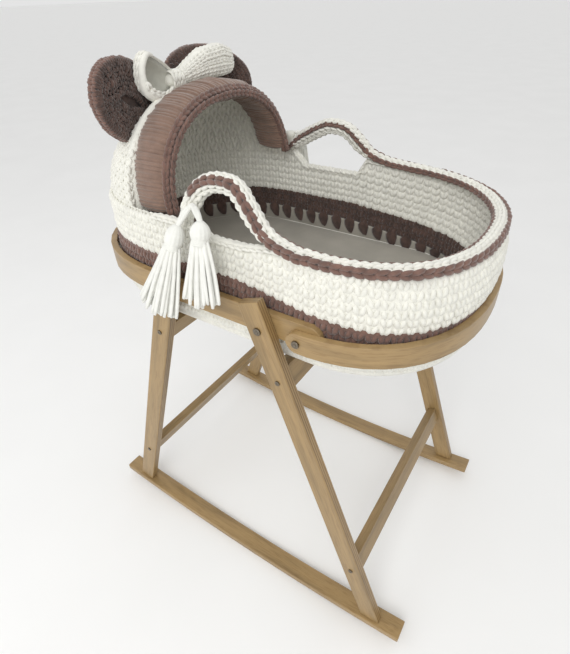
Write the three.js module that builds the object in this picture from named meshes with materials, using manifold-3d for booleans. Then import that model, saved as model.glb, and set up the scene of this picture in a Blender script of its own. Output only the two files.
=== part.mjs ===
// Bassinet on stand: a crocheted Moses basket with a hood, carried by a wooden rocker stand.
// Units are millimetres, +Z is up, +X is the foot end, -Y is the near side.

import * as THREE from 'three';
import Module from 'manifold-3d';

// ---------------------------------------------------------------- stand
const ROCKER_WIDTH = 40;
const ROCKER_THICKNESS = 15;
const ROCKER_RADIUS = 3435;
const ROCKER_Y = 240;
const ROCKER_FACET_ENDS = [40, 105, 170, 235, 300, 370, 400];

const LEG_WIDTH = 39;
const LEG_THICKNESS = 18;
const LEG_Y = 244;
const LEG_FOOT_X = 334.5;
const LEG_HEAD_X = 97.5;
const LEG_FOOT_Z = 31;
const LEG_HEAD_Z = 696;
const LEG_TOP_Z = 741;

const RAIL_Z = 607;
const RAIL_HEIGHT = 40;
const RAIL_THICKNESS = 26;
const STRETCHER_Z = 178;
const STRETCHER_HEIGHT = 38;
const STRETCHER_THICKNESS = 20;

const HOOP_HEAD_Z = [680, 721];
const HOOP_FOOT_Z = [675, 711];
const HOOP_THICKNESS = 11.6;
const LAP_START_X = 142;
const LAP_BOLT_X = 160;
const LAP_END_STEPS = [3, 8, 14];
const LAP_END_X = 192;

const BOLT_RADIUS = 6.5;
const BOLT_HEIGHT = 3;
const BOLT_SOCKET_RADIUS = 3;
const SCREW_RADIUS = 4.5;
const SCREW_HEIGHT = 2;
const SCREW_SOCKET_RADIUS = 2;

const WOOD_CHAMFER = 1.5;
const GAP = 0.3;

// ---------------------------------------------------------------- basket
const BASKET_BOTTOM_Z = 632;
const BASKET_WALL = 12;
const BASKET_FLOOR = 8;
const WALL_TOP_Z = 812;
const BAND_TOP_Z = 745;
const BAND_BULGE = 3;
const BOARD_THICKNESS = 4;
const MATTRESS_THICKNESS = 14;

const RIM_WIDTH = 24;
const RIM_HEIGHT = 12;
const RIM_OVERHANG = 3;
const RIM_START_X = -122;

const HANDLE_THICKNESS = 16;
const HANDLE_HEIGHT = 27;
const HANDLE_LEAN = 20;
const HANDLE_NEAR = { fromX: -52, toX: 92, topZ: 903 };
const HANDLE_FAR = { fromX: -108, toX: 56, topZ: 892 };

const HOOD_HEIGHT = 168;
const HOOD_WALL = 12;
const HOOD_FRONT_X = -124;
const HOOD_LEAN = 0.08;
const ROLL_HEIGHT = 172;
const ROLL_WIDTH = 64;
const ROLL_DEPTH = 28;
const EDGING_WIDTH = 15;
const EDGING_INSET = 18;
const EDGING_DEPTH = 12;
// a cutting body reaches this far below the wall top
const CUT_DROP = 1;

// turn is about the vertical, tilt drops the far end of the ear
const EAR_NEAR = { centre: [-244, -122, 968], halfWidth: 76, turn: 14, tilt: 22 };
const EAR_FAR = { centre: [-262, 104, 966], halfWidth: 92, turn: -28, tilt: 13 };
const EAR_HALF_HEIGHT = 58;
const EAR_THICKNESS = 18;

const BOW_KNOT = [-226, -36, 986];
const BOW_KNOT_RADIUS = 16;
const BOW_LOBE_NEAR = { side: -1, reach: 56, lift: 14, forward: 8 };
const BOW_LOBE_FAR = { side: 1, reach: 148, lift: 12, forward: 12 };
const BOW_LOBE_ROOT = 10;
const BOW_LOBE_SWELL = 26;
const BOW_LOBE_FLATNESS = 0.45;

const TASSEL_HEAD_RADIUS = 15;
const TASSEL_SKIRT_RADIUS = 40;
// each pair gives the hanging point and the skirt's middle; y counts outwards
const TASSEL_ENDS = {
  near: { head: [[-46, 243, 838], [-86, 281, 686]], foot: [[4, 243, 846], [6, 270, 722]] },
  far: { head: [[-180, 243, 838], [-218, 281, 686]], foot: [[-130, 243, 846], [-128, 270, 722]] },
};

// plan outline of the hoop and of the basket: straight sides and rounded ends
const PLAN_HEAD_X = -110;
const PLAN_FOOT_X = 150;
const HOOP_PLAN = { half: 234.7, head: 261, foot: 212, headPower: 2.6, footPower: 2.35 };
const BASKET_PLAN = { half: 217, head: 246, foot: 208, headPower: 2.5, footPower: 2.3 };
// dome outlines also say how squarely they rise (rise) and how they round over (round)
const HOOD_PLAN = { half: 212, head: 241, headPower: 2.5, rise: 2, round: 2.1 };
const ROLL_PLAN = { half: 196, head: 233, headPower: 2.5, rise: 2.2, round: 2.3 };
// keeps a cap's first point off the corner it shares with a straight side
const SEAM_ANGLE = 1e-6;

const WOOD = 0xc9a06a;
const WOOD_EDGE = 0xb98d58;
const STEEL = 0x9a948a;
const CREAM = 0xf1ede3;
const BROWN = 0x7a5648;
const LINEN = 0xb9b2a4;
const PLY = 0xd2b98e;

// ---------------------------------------------------------------- shared helpers
const wasm = await Module();
wasm.setup();

function makeMesh(name, geometry, colour, roughness, metalness = 0) {
  const material = new THREE.MeshStandardMaterial({ color: colour, roughness, metalness });
  const mesh = new THREE.Mesh(geometry, material);
  mesh.name = name;
  return mesh;
}

function indexedGeometry(points, faces) {
  const geometry = new THREE.BufferGeometry();
  const flat = points.flatMap((p) => [p.x, p.y, p.z]);
  geometry.setAttribute('position', new THREE.Float32BufferAttribute(flat, 3));
  geometry.setIndex(faces);
  return geometry;
}

// Joins equal-sized closed rings of points into one closed body.
// The two end rings are closed with a fan, or joined to each other when looped.
function skinRings(rings, looped = false) {
  const count = rings[0].length;
  const points = rings.flat();
  const faces = [];
  const bands = looped ? rings.length : rings.length - 1;
  for (let i = 0; i < bands; i += 1) {
    const base = i * count;
    const next = ((i + 1) % rings.length) * count;
    for (let j = 0; j < count; j += 1) {
      const k = (j + 1) % count;
      faces.push(base + j, base + k, next + k, base + j, next + k, next + j);
    }
  }
  if (!looped) {
    addFan(points, faces, rings[0], 0, true);
    addFan(points, faces, rings[rings.length - 1], (rings.length - 1) * count, false);
  }
  return outward(indexedGeometry(points, faces));
}

function addFan(points, faces, ring, base, reversed) {
  const centre = ring.reduce((sum, p) => sum.clone().add(p), new THREE.Vector3());
  centre.divideScalar(ring.length);
  const hub = points.length;
  points.push(centre);
  for (let j = 0; j < ring.length; j += 1) {
    const k = (j + 1) % ring.length;
    if (reversed) faces.push(hub, base + k, base + j);
    else faces.push(hub, base + j, base + k);
  }
}

function signedVolume(geometry) {
  const position = geometry.getAttribute('position');
  const index = geometry.getIndex().array;
  const a = new THREE.Vector3();
  const b = new THREE.Vector3();
  const c = new THREE.Vector3();
  let volume = 0;
  for (let i = 0; i < index.length; i += 3) {
    a.fromBufferAttribute(position, index[i]);
    b.fromBufferAttribute(position, index[i + 1]);
    c.fromBufferAttribute(position, index[i + 2]);
    volume += a.dot(b.cross(c)) / 6;
  }
  return volume;
}

function outward(geometry) {
  if (signedVolume(geometry) > 0) return geometry;
  const index = geometry.getIndex();
  const flipped = [];
  for (let i = 0; i < index.count; i += 3) {
    flipped.push(index.array[i], index.array[i + 2], index.array[i + 1]);
  }
  geometry.setIndex(flipped);
  return geometry;
}

function toSolid(geometry) {
  const vertProperties = new Float32Array(geometry.getAttribute('position').array);
  const triVerts = new Uint32Array(geometry.getIndex().array);
  return new wasm.Manifold(new wasm.Mesh({ numProp: 3, vertProperties, triVerts }));
}

function fromSolid(solid) {
  const mesh = solid.getMesh();
  const points = [];
  for (let i = 0; i < mesh.vertProperties.length; i += mesh.numProp) {
    const [x, y, z] = mesh.vertProperties.slice(i, i + 3);
    points.push(new THREE.Vector3(x, y, z));
  }
  return indexedGeometry(points, Array.from(mesh.triVerts));
}

// Outline in the XZ plane, extruded between two Y values, with chamfered edges.
function plateXZ(outline, yFrom, yTo) {
  const shape = new THREE.Shape(outline.map(([x, z]) => new THREE.Vector2(x, z)));
  const geometry = new THREE.ExtrudeGeometry(shape, {
    depth: yTo - yFrom - 2 * WOOD_CHAMFER,
    bevelEnabled: true,
    bevelThickness: WOOD_CHAMFER,
    bevelSize: WOOD_CHAMFER,
    bevelOffset: -WOOD_CHAMFER,
    bevelSegments: 1,
  });
  geometry.rotateX(Math.PI / 2);
  geometry.translate(0, yTo - WOOD_CHAMFER, 0);
  return geometry;
}

// ---------------------------------------------------------------- plan outlines
function capPoint(plan, angle, offset) {
  const c = Math.cos(angle);
  const s = Math.sin(angle);
  const atFoot = c >= 0;
  const reach = (atFoot ? plan.foot : plan.head) + offset;
  const power = atFoot ? plan.footPower : plan.headPower;
  const half = plan.half + offset;
  const radius = (Math.abs(c / reach) ** power + Math.abs(s / half) ** power) ** (-1 / power);
  return [(atFoot ? PLAN_FOOT_X : PLAN_HEAD_X) + radius * c, radius * s];
}

// Closed plan outline, counter-clockwise from the middle of the foot end.
function planOutline(plan, offset, capSteps, sideSteps) {
  const outline = [];
  const addCap = (from, to) => {
    for (let i = 0; i < capSteps; i += 1) {
      outline.push(capPoint(plan, from + ((to - from) * i) / capSteps, offset));
    }
  };
  const addSide = (fromX, toX, y) => {
    for (let i = 0; i < sideSteps; i += 1) {
      outline.push([fromX + ((toX - fromX) * i) / sideSteps, y]);
    }
  };
  const quarter = Math.PI / 2;
  const half = plan.half + offset;
  addCap(0, quarter);
  addSide(PLAN_FOOT_X, PLAN_HEAD_X, half);
  addCap(quarter + SEAM_ANGLE, Math.PI);
  addCap(Math.PI, 3 * quarter - SEAM_ANGLE);
  addSide(PLAN_HEAD_X, PLAN_FOOT_X, -half);
  addCap(3 * quarter + SEAM_ANGLE, 2 * Math.PI);
  return outline;
}

function ringAt(plan, offset, z, capSteps, sideSteps) {
  return planOutline(plan, offset, capSteps, sideSteps).map(([x, y]) => new THREE.Vector3(x, y, z));
}

// Open run of the outline between two X cuts, on the chosen end.
function planRun(plan, offset, cutX, keepFoot, capSteps, sideSteps) {
  const outline = planOutline(plan, offset, capSteps, sideSteps);
  const kept = outline.filter(([x]) => (keepFoot ? x > cutX + 1 : x < cutX - 1));
  const near = kept.filter(([, y]) => y < 0);
  const far = kept.filter(([, y]) => y >= 0);
  const byAngle = (a, b) => angleAlong(a, keepFoot) - angleAlong(b, keepFoot);
  near.sort(byAngle);
  far.sort(byAngle);
  const cutY = outlineY(outline, cutX);
  const ordered = keepFoot ? [...near, ...far] : [...far, ...near];
  const first = [cutX, keepFoot ? -cutY : cutY];
  const last = [cutX, keepFoot ? cutY : -cutY];
  return [first, ...ordered, last];
}

function angleAlong([x, y], keepFoot) {
  const angle = Math.atan2(y, x);
  if (keepFoot) return angle;
  return angle < 0 ? angle + 2 * Math.PI : angle;
}

function outlineY(outline, cutX) {
  const side = outline.filter(([, y]) => y >= 0).sort((a, b) => a[0] - b[0]);
  const next = side.findIndex(([x]) => x >= cutX);
  const [x0, y0] = side[next - 1];
  const [x1, y1] = side[next];
  return y0 + ((y1 - y0) * (cutX - x0)) / (x1 - x0);
}

function runNormals(run) {
  return run.map((point, i) => {
    const before = run[Math.max(i - 1, 0)];
    const after = run[Math.min(i + 1, run.length - 1)];
    const dx = after[0] - before[0];
    const dy = after[1] - before[1];
    const length = Math.hypot(dx, dy);
    return [dy / length, -dx / length];
  });
}

// Adds points close to both ends of a run, where a rounded end needs them.
function withEndSteps(run) {
  const first = run[0];
  const last = run[run.length - 1];
  const clear = ([x, y], end) => Math.hypot(x - end[0], y - end[1]) > LAP_END_STEPS[2] + 2;
  const middle = run.filter((point) => clear(point, first) && clear(point, last));
  const near = LAP_END_STEPS.map((step) => pointTowards(first, middle[0], step));
  const far = LAP_END_STEPS.map((step) => pointTowards(last, middle[middle.length - 1], step));
  return [first, ...near, ...middle, ...far.reverse(), last];
}

function pointTowards([x, y], target, distance) {
  const share = distance / Math.hypot(target[0] - x, target[1] - y);
  return [x + (target[0] - x) * share, y + (target[1] - y) * share];
}

// Flat bar bent along an open plan run; the ends may be rounded in side view.
function bentBar(run, thickness, zFrom, zTo, roundEnds) {
  const normals = runNormals(run);
  const middle = (zFrom + zTo) / 2;
  const half = (zTo - zFrom) / 2;
  const rings = run.map(([x, y], i) => {
    const [nx, ny] = normals[i];
    const fromEnd = Math.min(distanceAlong(run, 0, i), distanceAlong(run, i, run.length - 1));
    const reach = roundEnds ? Math.min(fromEnd / half, 1) : 1;
    const rise = Math.max(half * Math.sqrt(1 - (1 - reach) ** 2), 4);
    return [
      new THREE.Vector3(x, y, middle - rise),
      new THREE.Vector3(x + nx * thickness, y + ny * thickness, middle - rise),
      new THREE.Vector3(x + nx * thickness, y + ny * thickness, middle + rise),
      new THREE.Vector3(x, y, middle + rise),
    ];
  });
  return skinRings(rings);
}

function distanceAlong(run, from, to) {
  let total = 0;
  for (let i = from; i < to; i += 1) {
    total += Math.hypot(run[i + 1][0] - run[i][0], run[i + 1][1] - run[i][1]);
  }
  return total;
}

// ---------------------------------------------------------------- stand parts
function rockerUndersideZ(x) {
  const flat = ROCKER_FACET_ENDS[0];
  return Math.max(x * x - flat * flat, 0) / (2 * ROCKER_RADIUS);
}

function rockerTopZ(x) {
  const ends = ROCKER_FACET_ENDS;
  const i = Math.max(ends.findIndex((end) => end >= Math.abs(x)), 1);
  const t = (Math.abs(x) - ends[i - 1]) / (ends[i] - ends[i - 1]);
  const z0 = rockerUndersideZ(ends[i - 1]);
  const z1 = rockerUndersideZ(ends[i]);
  return z0 + (z1 - z0) * t + ROCKER_THICKNESS;
}

function rocker(name, side) {
  const stations = [...ROCKER_FACET_ENDS.map((x) => -x).reverse(), ...ROCKER_FACET_ENDS];
  const under = stations.map((x) => [x, rockerUndersideZ(x)]);
  const over = stations.map((x) => [x, rockerUndersideZ(x) + ROCKER_THICKNESS]).reverse();
  const y = side * ROCKER_Y;
  const geometry = plateXZ([...under, ...over], y - ROCKER_WIDTH / 2, y + ROCKER_WIDTH / 2);
  return makeMesh(name, geometry, WOOD, 0.45);
}

function legCentreX(z) {
  const t = (z - LEG_FOOT_Z) / (LEG_HEAD_Z - LEG_FOOT_Z);
  return LEG_FOOT_X + (LEG_HEAD_X - LEG_FOOT_X) * t;
}

function legLean() {
  return Math.atan2(LEG_FOOT_X - LEG_HEAD_X, LEG_HEAD_Z - LEG_FOOT_Z);
}

function leg(name, end, side) {
  const halfWidth = LEG_WIDTH / 2 / Math.cos(legLean());
  const footX = [LEG_FOOT_X - halfWidth, LEG_FOOT_X + halfWidth];
  const footZ = footX.map((x) => rockerTopZ(x) + GAP);
  const topX = legCentreX(LEG_TOP_Z);
  const across = (LEG_WIDTH / 2) * Math.cos(legLean());
  const drop = (LEG_WIDTH / 2) * Math.sin(legLean());
  const outline = [
    [footX[0], footZ[0]],
    [footX[1], footZ[1]],
    [topX + across, LEG_TOP_Z + drop],
    [topX - across, LEG_TOP_Z - drop],
  ];
  const placed = outline.map(([x, z]) => [end * x, z]);
  if (end < 0) placed.reverse();
  const y = side * LEG_Y;
  const geometry = plateXZ(placed, y - LEG_THICKNESS / 2, y + LEG_THICKNESS / 2);
  return makeMesh(name, geometry, WOOD, 0.45);
}

function crossPiece(name, end, z, height, thickness) {
  const lean = end * legLean();
  const along = [-Math.sin(lean), Math.cos(lean)];
  const across = [Math.cos(lean), Math.sin(lean)];
  const corner = (a, b) => [
    end * legCentreX(z) + (across[0] * a * thickness + along[0] * b * height) / 2,
    z + (across[1] * a * thickness + along[1] * b * height) / 2,
  ];
  const outline = [corner(-1, -1), corner(1, -1), corner(1, 1), corner(-1, 1)];
  const reach = LEG_Y - LEG_THICKNESS / 2 - GAP;
  return makeMesh(name, plateXZ(outline, -reach, reach), WOOD_EDGE, 0.5);
}

function hoopHead() {
  const run = planRun(HOOP_PLAN, -HOOP_THICKNESS, LAP_END_X, false, 14, 4);
  const geometry = bentBar(withEndSteps(run), HOOP_THICKNESS, ...HOOP_HEAD_Z, true);
  return makeMesh('hoop_head', geometry, WOOD, 0.42);
}

function hoopFoot() {
  const run = planRun(HOOP_PLAN, GAP, LAP_START_X, true, 14, 4);
  const geometry = bentBar(withEndSteps(run), HOOP_THICKNESS, ...HOOP_FOOT_Z, true);
  return makeMesh('hoop_foot', geometry, WOOD, 0.42);
}

function fastenerHead(name, x, y, z, side, radius, height, socket) {
  const edge = radius * 0.12;
  const profile = [
    [0, 0],
    [radius, 0],
    [radius, height - edge],
    [radius - edge, height],
    [socket, height],
    [socket, height * 0.4],
    [0, height * 0.4],
  ];
  const points = profile.map(([r, h]) => new THREE.Vector2(r, h));
  const geometry = new THREE.LatheGeometry(points, 10);
  if (side < 0) geometry.rotateX(Math.PI);
  geometry.translate(x, y + side * GAP, z);
  return makeMesh(name, geometry, STEEL, 0.35, 0.9);
}

function boltHead(name, x, y, z, side) {
  return fastenerHead(name, x, y, z, side, BOLT_RADIUS, BOLT_HEIGHT, BOLT_SOCKET_RADIUS);
}

function screwHead(name, x, y, z, side) {
  return fastenerHead(name, x, y, z, side, SCREW_RADIUS, SCREW_HEIGHT, SCREW_SOCKET_RADIUS);
}

function standParts() {
  const parts = [];
  const legFace = LEG_Y + LEG_THICKNESS / 2;
  for (const [sideName, side] of [['near', -1], ['far', 1]]) {
    parts.push(rocker(`rocker_${sideName}`, side));
    for (const [endName, end] of [['head', -1], ['foot', 1]]) {
      const tag = `${endName}_${sideName}`;
      parts.push(leg(`leg_${tag}`, end, side));
      parts.push(boltHead(`hoop_bolt_${tag}`, end * LEG_HEAD_X, side * legFace, LEG_HEAD_Z, side));
      parts.push(screwHead(`rail_screw_${tag}`, end * legCentreX(RAIL_Z), side * legFace, RAIL_Z, side));
      const x = end * legCentreX(STRETCHER_Z);
      parts.push(screwHead(`stretcher_screw_${tag}`, x, side * legFace, STRETCHER_Z, side));
    }
    const lapFace = HOOP_PLAN.half + GAP + HOOP_THICKNESS;
    const lapZ = (HOOP_FOOT_Z[0] + HOOP_FOOT_Z[1]) / 2;
    parts.push(boltHead(`lap_bolt_${sideName}`, LAP_BOLT_X, side * lapFace, lapZ, side));
  }
  for (const [endName, end] of [['head', -1], ['foot', 1]]) {
    parts.push(crossPiece(`rail_${endName}`, end, RAIL_Z, RAIL_HEIGHT, RAIL_THICKNESS));
    const tag = `stretcher_${endName}`;
    parts.push(crossPiece(tag, end, STRETCHER_Z, STRETCHER_HEIGHT, STRETCHER_THICKNESS));
  }
  parts.push(hoopHead());
  parts.push(hoopFoot());
  return parts;
}

// ---------------------------------------------------------------- basket parts
function basketShell() {
  const outer = [
    [-14, BASKET_BOTTOM_Z],
    [-4, BASKET_BOTTOM_Z + 4],
    [0, BASKET_BOTTOM_Z + 14],
    [0, HOOP_HEAD_Z[1] + 1],
    [BAND_BULGE, HOOP_HEAD_Z[1] + 7],
    [BAND_BULGE, BAND_TOP_Z - 4],
    [0, BAND_TOP_Z + 4],
    [0, WALL_TOP_Z],
  ];
  const inner = [
    [-BASKET_WALL, WALL_TOP_Z],
    [-BASKET_WALL, BASKET_BOTTOM_Z + BASKET_FLOOR],
  ];
  const rings = [...outer, ...inner].map(([offset, z]) => ringAt(BASKET_PLAN, offset, z, 9, 3));
  return makeMesh('basket_shell', skinRings(rings), CREAM, 0.95);
}

function slab(name, inset, zFrom, zTo, edge, colour, roughness) {
  const profile = [
    [-edge, zFrom],
    [0, zFrom + edge],
    [0, zTo - edge],
    [-edge, zTo],
  ];
  const rings = profile.map(([offset, z]) => ringAt(BASKET_PLAN, offset - inset, z, 9, 3));
  return makeMesh(name, skinRings(rings), colour, roughness);
}

function flatBoard(name, inset, z) {
  const outline = planOutline(BASKET_PLAN, -inset, 7, 2);
  const shape = new THREE.Shape(outline.map(([x, y]) => new THREE.Vector2(x, y)));
  const options = { depth: BOARD_THICKNESS, bevelEnabled: false };
  const geometry = new THREE.ExtrudeGeometry(shape, options);
  geometry.translate(0, 0, z);
  return makeMesh(name, geometry, PLY, 0.6);
}

function floorParts() {
  const boardFrom = BASKET_BOTTOM_Z + BASKET_FLOOR + GAP;
  const boardTo = boardFrom + BOARD_THICKNESS;
  const padFrom = boardTo + GAP;
  const padTo = padFrom + MATTRESS_THICKNESS;
  return [
    flatBoard('base_board', BASKET_WALL + 3, boardFrom),
    slab('mattress', BASKET_WALL + 4, padFrom, padTo, 5, LINEN, 0.9),
  ];
}

function rimParts() {
  const run = planRun(BASKET_PLAN, RIM_OVERHANG - RIM_WIDTH, RIM_START_X, true, 12, 4);
  const from = WALL_TOP_Z + GAP;
  return [makeMesh('rim', bentBar(run, RIM_WIDTH, from, from + RIM_HEIGHT, false), CREAM, 0.95)];
}

function rimTopZ() {
  return WALL_TOP_Z + GAP + RIM_HEIGHT;
}

function handle(name, side, { fromX, toX, topZ }) {
  const steps = 18;
  const footZ = rimTopZ() + GAP;
  const rise = topZ - HANDLE_HEIGHT / 2 - footZ;
  const halfSpan = (toX - fromX) / 2;
  const centre = (t) => {
    const u = -Math.cos(Math.PI * t);
    const lift = Math.sin(Math.PI * t) ** 0.8;
    return new THREE.Vector2(fromX + halfSpan * (1 + u), footZ + rise * lift);
  };
  const y = side * (BASKET_PLAN.half - BASKET_WALL / 2);
  const rings = [];
  for (let i = 0; i <= steps; i += 1) {
    const t = i / steps;
    const point = centre(t);
    const radial = centre(Math.min(t + 0.01, 1)).sub(centre(Math.max(t - 0.01, 0))).normalize();
    const atFoot = i === 0 || i === steps;
    const up = atFoot ? new THREE.Vector2(i === 0 ? -1 : 1, 0) : new THREE.Vector2(-radial.y, radial.x);
    const lean = -side * HANDLE_LEAN * Math.sin(Math.PI * t);
    const place = (a, b) => new THREE.Vector3(
      point.x + (up.x * a * HANDLE_HEIGHT) / 2,
      y + lean + (b * HANDLE_THICKNESS) / 2,
      point.y + (up.y * a * HANDLE_HEIGHT) / 2,
    );
    rings.push([place(-1, -1), place(-1, 1), place(1, 1), place(1, -1)]);
  }
  return makeMesh(name, skinRings(rings), CREAM, 0.95);
}

// Dome over the head end: a rounded quarter body standing on the wall top,
// drawn in by the inset all round. A cutting body starts lower, by the drop.
function domeSolid(plan, inset, fullHeight, drop = 0) {
  const across = 26;
  const up = 9;
  const rings = [];
  const baseZ = WALL_TOP_Z + GAP;
  const height = fullHeight - inset;
  for (let i = drop > 0 ? -1 : 0; i <= up; i += 1) {
    const rise = Math.sin((Math.PI / 2) * (Math.max(i, 0) / up) * 0.985);
    const z = baseZ + rise * height - (i < 0 ? drop : 0);
    const shrink = (1 - rise ** plan.rise) ** (1 / plan.round);
    const ring = [];
    for (let j = 0; j <= across; j += 1) {
      const angle = Math.PI / 2 + (Math.PI * j) / across;
      const c = Math.abs(Math.cos(angle));
      const s = Math.abs(Math.sin(angle));
      const reach = plan.head - inset;
      const half = plan.half - inset;
      const power = plan.headPower;
      const radius = ((c / reach) ** power + (s / half) ** power) ** (-1 / power) * shrink;
      const x = PLAN_HEAD_X + radius * Math.cos(angle);
      ring.push(new THREE.Vector3(x, radius * Math.sin(angle), z));
    }
    ring.push(...frontCurve(ring, z));
    rings.push(ring);
  }
  return toSolid(skinRings(rings));
}

// Carries a dome level forward past the front opening so it can be cut to the arch.
function frontCurve(ring, z) {
  const forward = HOOD_FRONT_X + EDGING_WIDTH + 30;
  const far = ring[0].y;
  const near = ring[ring.length - 1].y;
  return [new THREE.Vector3(forward, near, z), new THREE.Vector3(forward, far, z)];
}

// Cuts a dome body to the slab between two planes parallel to the leaning arch.
function archSlice(solid, fromFront, toFront) {
  const normal = new THREE.Vector3(1, 0, HOOD_LEAN).normalize();
  const origin = new THREE.Vector3(HOOD_FRONT_X, 0, WALL_TOP_Z);
  const at = origin.dot(normal);
  const behind = [-normal.x, 0, -normal.z];
  const ahead = [normal.x, 0, normal.z];
  const front = solid.trimByPlane(behind, -(at + toFront));
  return Number.isFinite(fromFront) ? front.trimByPlane(ahead, at + fromFront) : front;
}

// Dome wall between two insets.
function domeShell(plan, height, inset, depth) {
  const outer = domeSolid(plan, inset, height);
  return outer.subtract(domeSolid(plan, inset + depth, height, CUT_DROP));
}

function hoodParts() {
  const dome = domeShell(HOOD_PLAN, HOOD_HEIGHT, 0, HOOD_WALL);
  const shell = archSlice(dome, -Infinity, -ROLL_WIDTH - GAP);
  const roll = archSlice(domeShell(ROLL_PLAN, ROLL_HEIGHT, 0, ROLL_DEPTH), -ROLL_WIDTH, 0);
  const band = domeShell(ROLL_PLAN, ROLL_HEIGHT, EDGING_INSET, EDGING_DEPTH);
  const edging = archSlice(band, GAP, EDGING_WIDTH);
  return [
    makeMesh('hood_shell', fromSolid(shell), CREAM, 0.95),
    makeMesh('hood_roll', fromSolid(roll), BROWN, 0.8),
    makeMesh('hood_edging', fromSolid(edging), BROWN, 0.9),
  ];
}

function ellipseDisc(halfWidth, halfHeight, thickness) {
  const rings = [];
  for (const [x, scale] of [[-0.5, 0.94], [-0.3, 1], [0.3, 1], [0.5, 0.94]]) {
    const ring = [];
    for (let j = 0; j < 28; j += 1) {
      const angle = (2 * Math.PI * j) / 28;
      const y = Math.cos(angle) * halfWidth * scale;
      const z = Math.sin(angle) * halfHeight * scale;
      ring.push(new THREE.Vector3(x * thickness, y, z));
    }
    rings.push(ring);
  }
  return skinRings(rings);
}

function ear(name, { centre, halfWidth, turn, tilt }, keepOut) {
  const disc = ellipseDisc(halfWidth, EAR_HALF_HEIGHT, EAR_THICKNESS);
  disc.rotateX(-THREE.MathUtils.degToRad(tilt));
  disc.rotateZ(THREE.MathUtils.degToRad(turn));
  disc.translate(...centre);
  return makeMesh(name, fromSolid(toSolid(disc).subtract(keepOut)), BROWN, 0.95);
}

function bowLobe(name, { side, reach, lift, forward }, keepOut) {
  const rings = [];
  const steps = 8;
  for (let i = 0; i <= steps; i += 1) {
    const t = i / steps;
    const spread = BOW_LOBE_ROOT + BOW_LOBE_SWELL * Math.sin(Math.PI * (0.12 + 0.7 * t));
    const ring = [];
    for (let j = 0; j < 12; j += 1) {
      const angle = (2 * Math.PI * j) / 12;
      const x = BOW_KNOT[0] + forward * t + Math.cos(angle) * spread * BOW_LOBE_FLATNESS;
      const y = BOW_KNOT[1] + side * (BOW_KNOT_RADIUS + 2 * GAP + reach * t);
      ring.push(new THREE.Vector3(x, y, BOW_KNOT[2] + lift * t + Math.sin(angle) * spread));
    }
    rings.push(ring);
  }
  const solid = toSolid(skinRings(rings)).subtract(keepOut);
  return makeMesh(name, fromSolid(solid), CREAM, 0.95);
}

function bowKnot(keepOut) {
  const rings = [];
  for (let i = 1; i < 8; i += 1) {
    const polar = (Math.PI * i) / 8;
    const ring = [];
    for (let j = 0; j < 14; j += 1) {
      const angle = (2 * Math.PI * j) / 14;
      const r = BOW_KNOT_RADIUS * Math.sin(polar);
      const x = BOW_KNOT[0] + r * Math.cos(angle);
      const z = BOW_KNOT[2] + r * Math.sin(angle);
      ring.push(new THREE.Vector3(x, BOW_KNOT[1] - BOW_KNOT_RADIUS * Math.cos(polar), z));
    }
    rings.push(ring);
  }
  return makeMesh('bow_knot', fromSolid(toSolid(skinRings(rings)).subtract(keepOut)), CREAM, 0.95);
}

function topParts() {
  const aroundRoll = domeSolid(ROLL_PLAN, -GAP, ROLL_HEIGHT, CUT_DROP);
  const rollSpace = archSlice(aroundRoll, -ROLL_WIDTH - GAP, EDGING_WIDTH);
  const keepOut = domeSolid(HOOD_PLAN, -GAP, HOOD_HEIGHT, CUT_DROP).add(rollSpace);
  return [
    ear('ear_near', EAR_NEAR, keepOut),
    ear('ear_far', EAR_FAR, keepOut),
    bowLobe('bow_near', BOW_LOBE_NEAR, keepOut),
    bowLobe('bow_far', BOW_LOBE_FAR, keepOut),
    bowKnot(keepOut),
  ];
}

function tassel(name, top, bottom, side) {
  const from = new THREE.Vector3(top[0], side * top[1], top[2]);
  const to = new THREE.Vector3(bottom[0], side * bottom[1], bottom[2]);
  const length = from.distanceTo(to);
  const profile = [
    [0.35, 0],
    [1, 0.07],
    [1, 0.15],
    [0.72, 0.22],
    [0.9, 0.3],
    [1.6, 0.6],
    [TASSEL_SKIRT_RADIUS / TASSEL_HEAD_RADIUS, 1],
  ];
  const rings = profile.map(([radius, drop]) => {
    const ring = [];
    for (let j = 0; j < 14; j += 1) {
      const angle = (2 * Math.PI * j) / 14;
      const r = radius * TASSEL_HEAD_RADIUS;
      const x = r * Math.cos(angle);
      const y = Math.min(r, TASSEL_HEAD_RADIUS) * Math.sin(angle);
      ring.push(new THREE.Vector3(x, y, -drop * length));
    }
    return ring;
  });
  const geometry = skinRings(rings);
  const down = new THREE.Vector3(0, 0, -1);
  const swing = new THREE.Quaternion().setFromUnitVectors(down, to.sub(from).normalize());
  geometry.applyQuaternion(swing);
  geometry.translate(from.x, from.y, from.z);
  return makeMesh(name, geometry, CREAM, 0.9);
}

function tasselParts() {
  const parts = [];
  for (const [sideName, side] of [['near', -1], ['far', 1]]) {
    const ends = TASSEL_ENDS[sideName];
    parts.push(tassel(`tassel_${sideName}_head`, ...ends.head, side));
    parts.push(tassel(`tassel_${sideName}_foot`, ...ends.foot, side));
  }
  return parts;
}

function basketParts() {
  return [
    basketShell(),
    ...floorParts(),
    ...rimParts(),
    handle('handle_near', -1, HANDLE_NEAR),
    handle('handle_far', 1, HANDLE_FAR),
    ...hoodParts(),
    ...topParts(),
    ...tasselParts(),
  ];
}

const bassinet = new THREE.Group();
bassinet.name = 'bassinet_on_stand';
bassinet.add(...standParts(), ...basketParts());

export default bassinet;
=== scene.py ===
import math

import bpy
import numpy as np
from mathutils import Matrix, Vector


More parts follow.
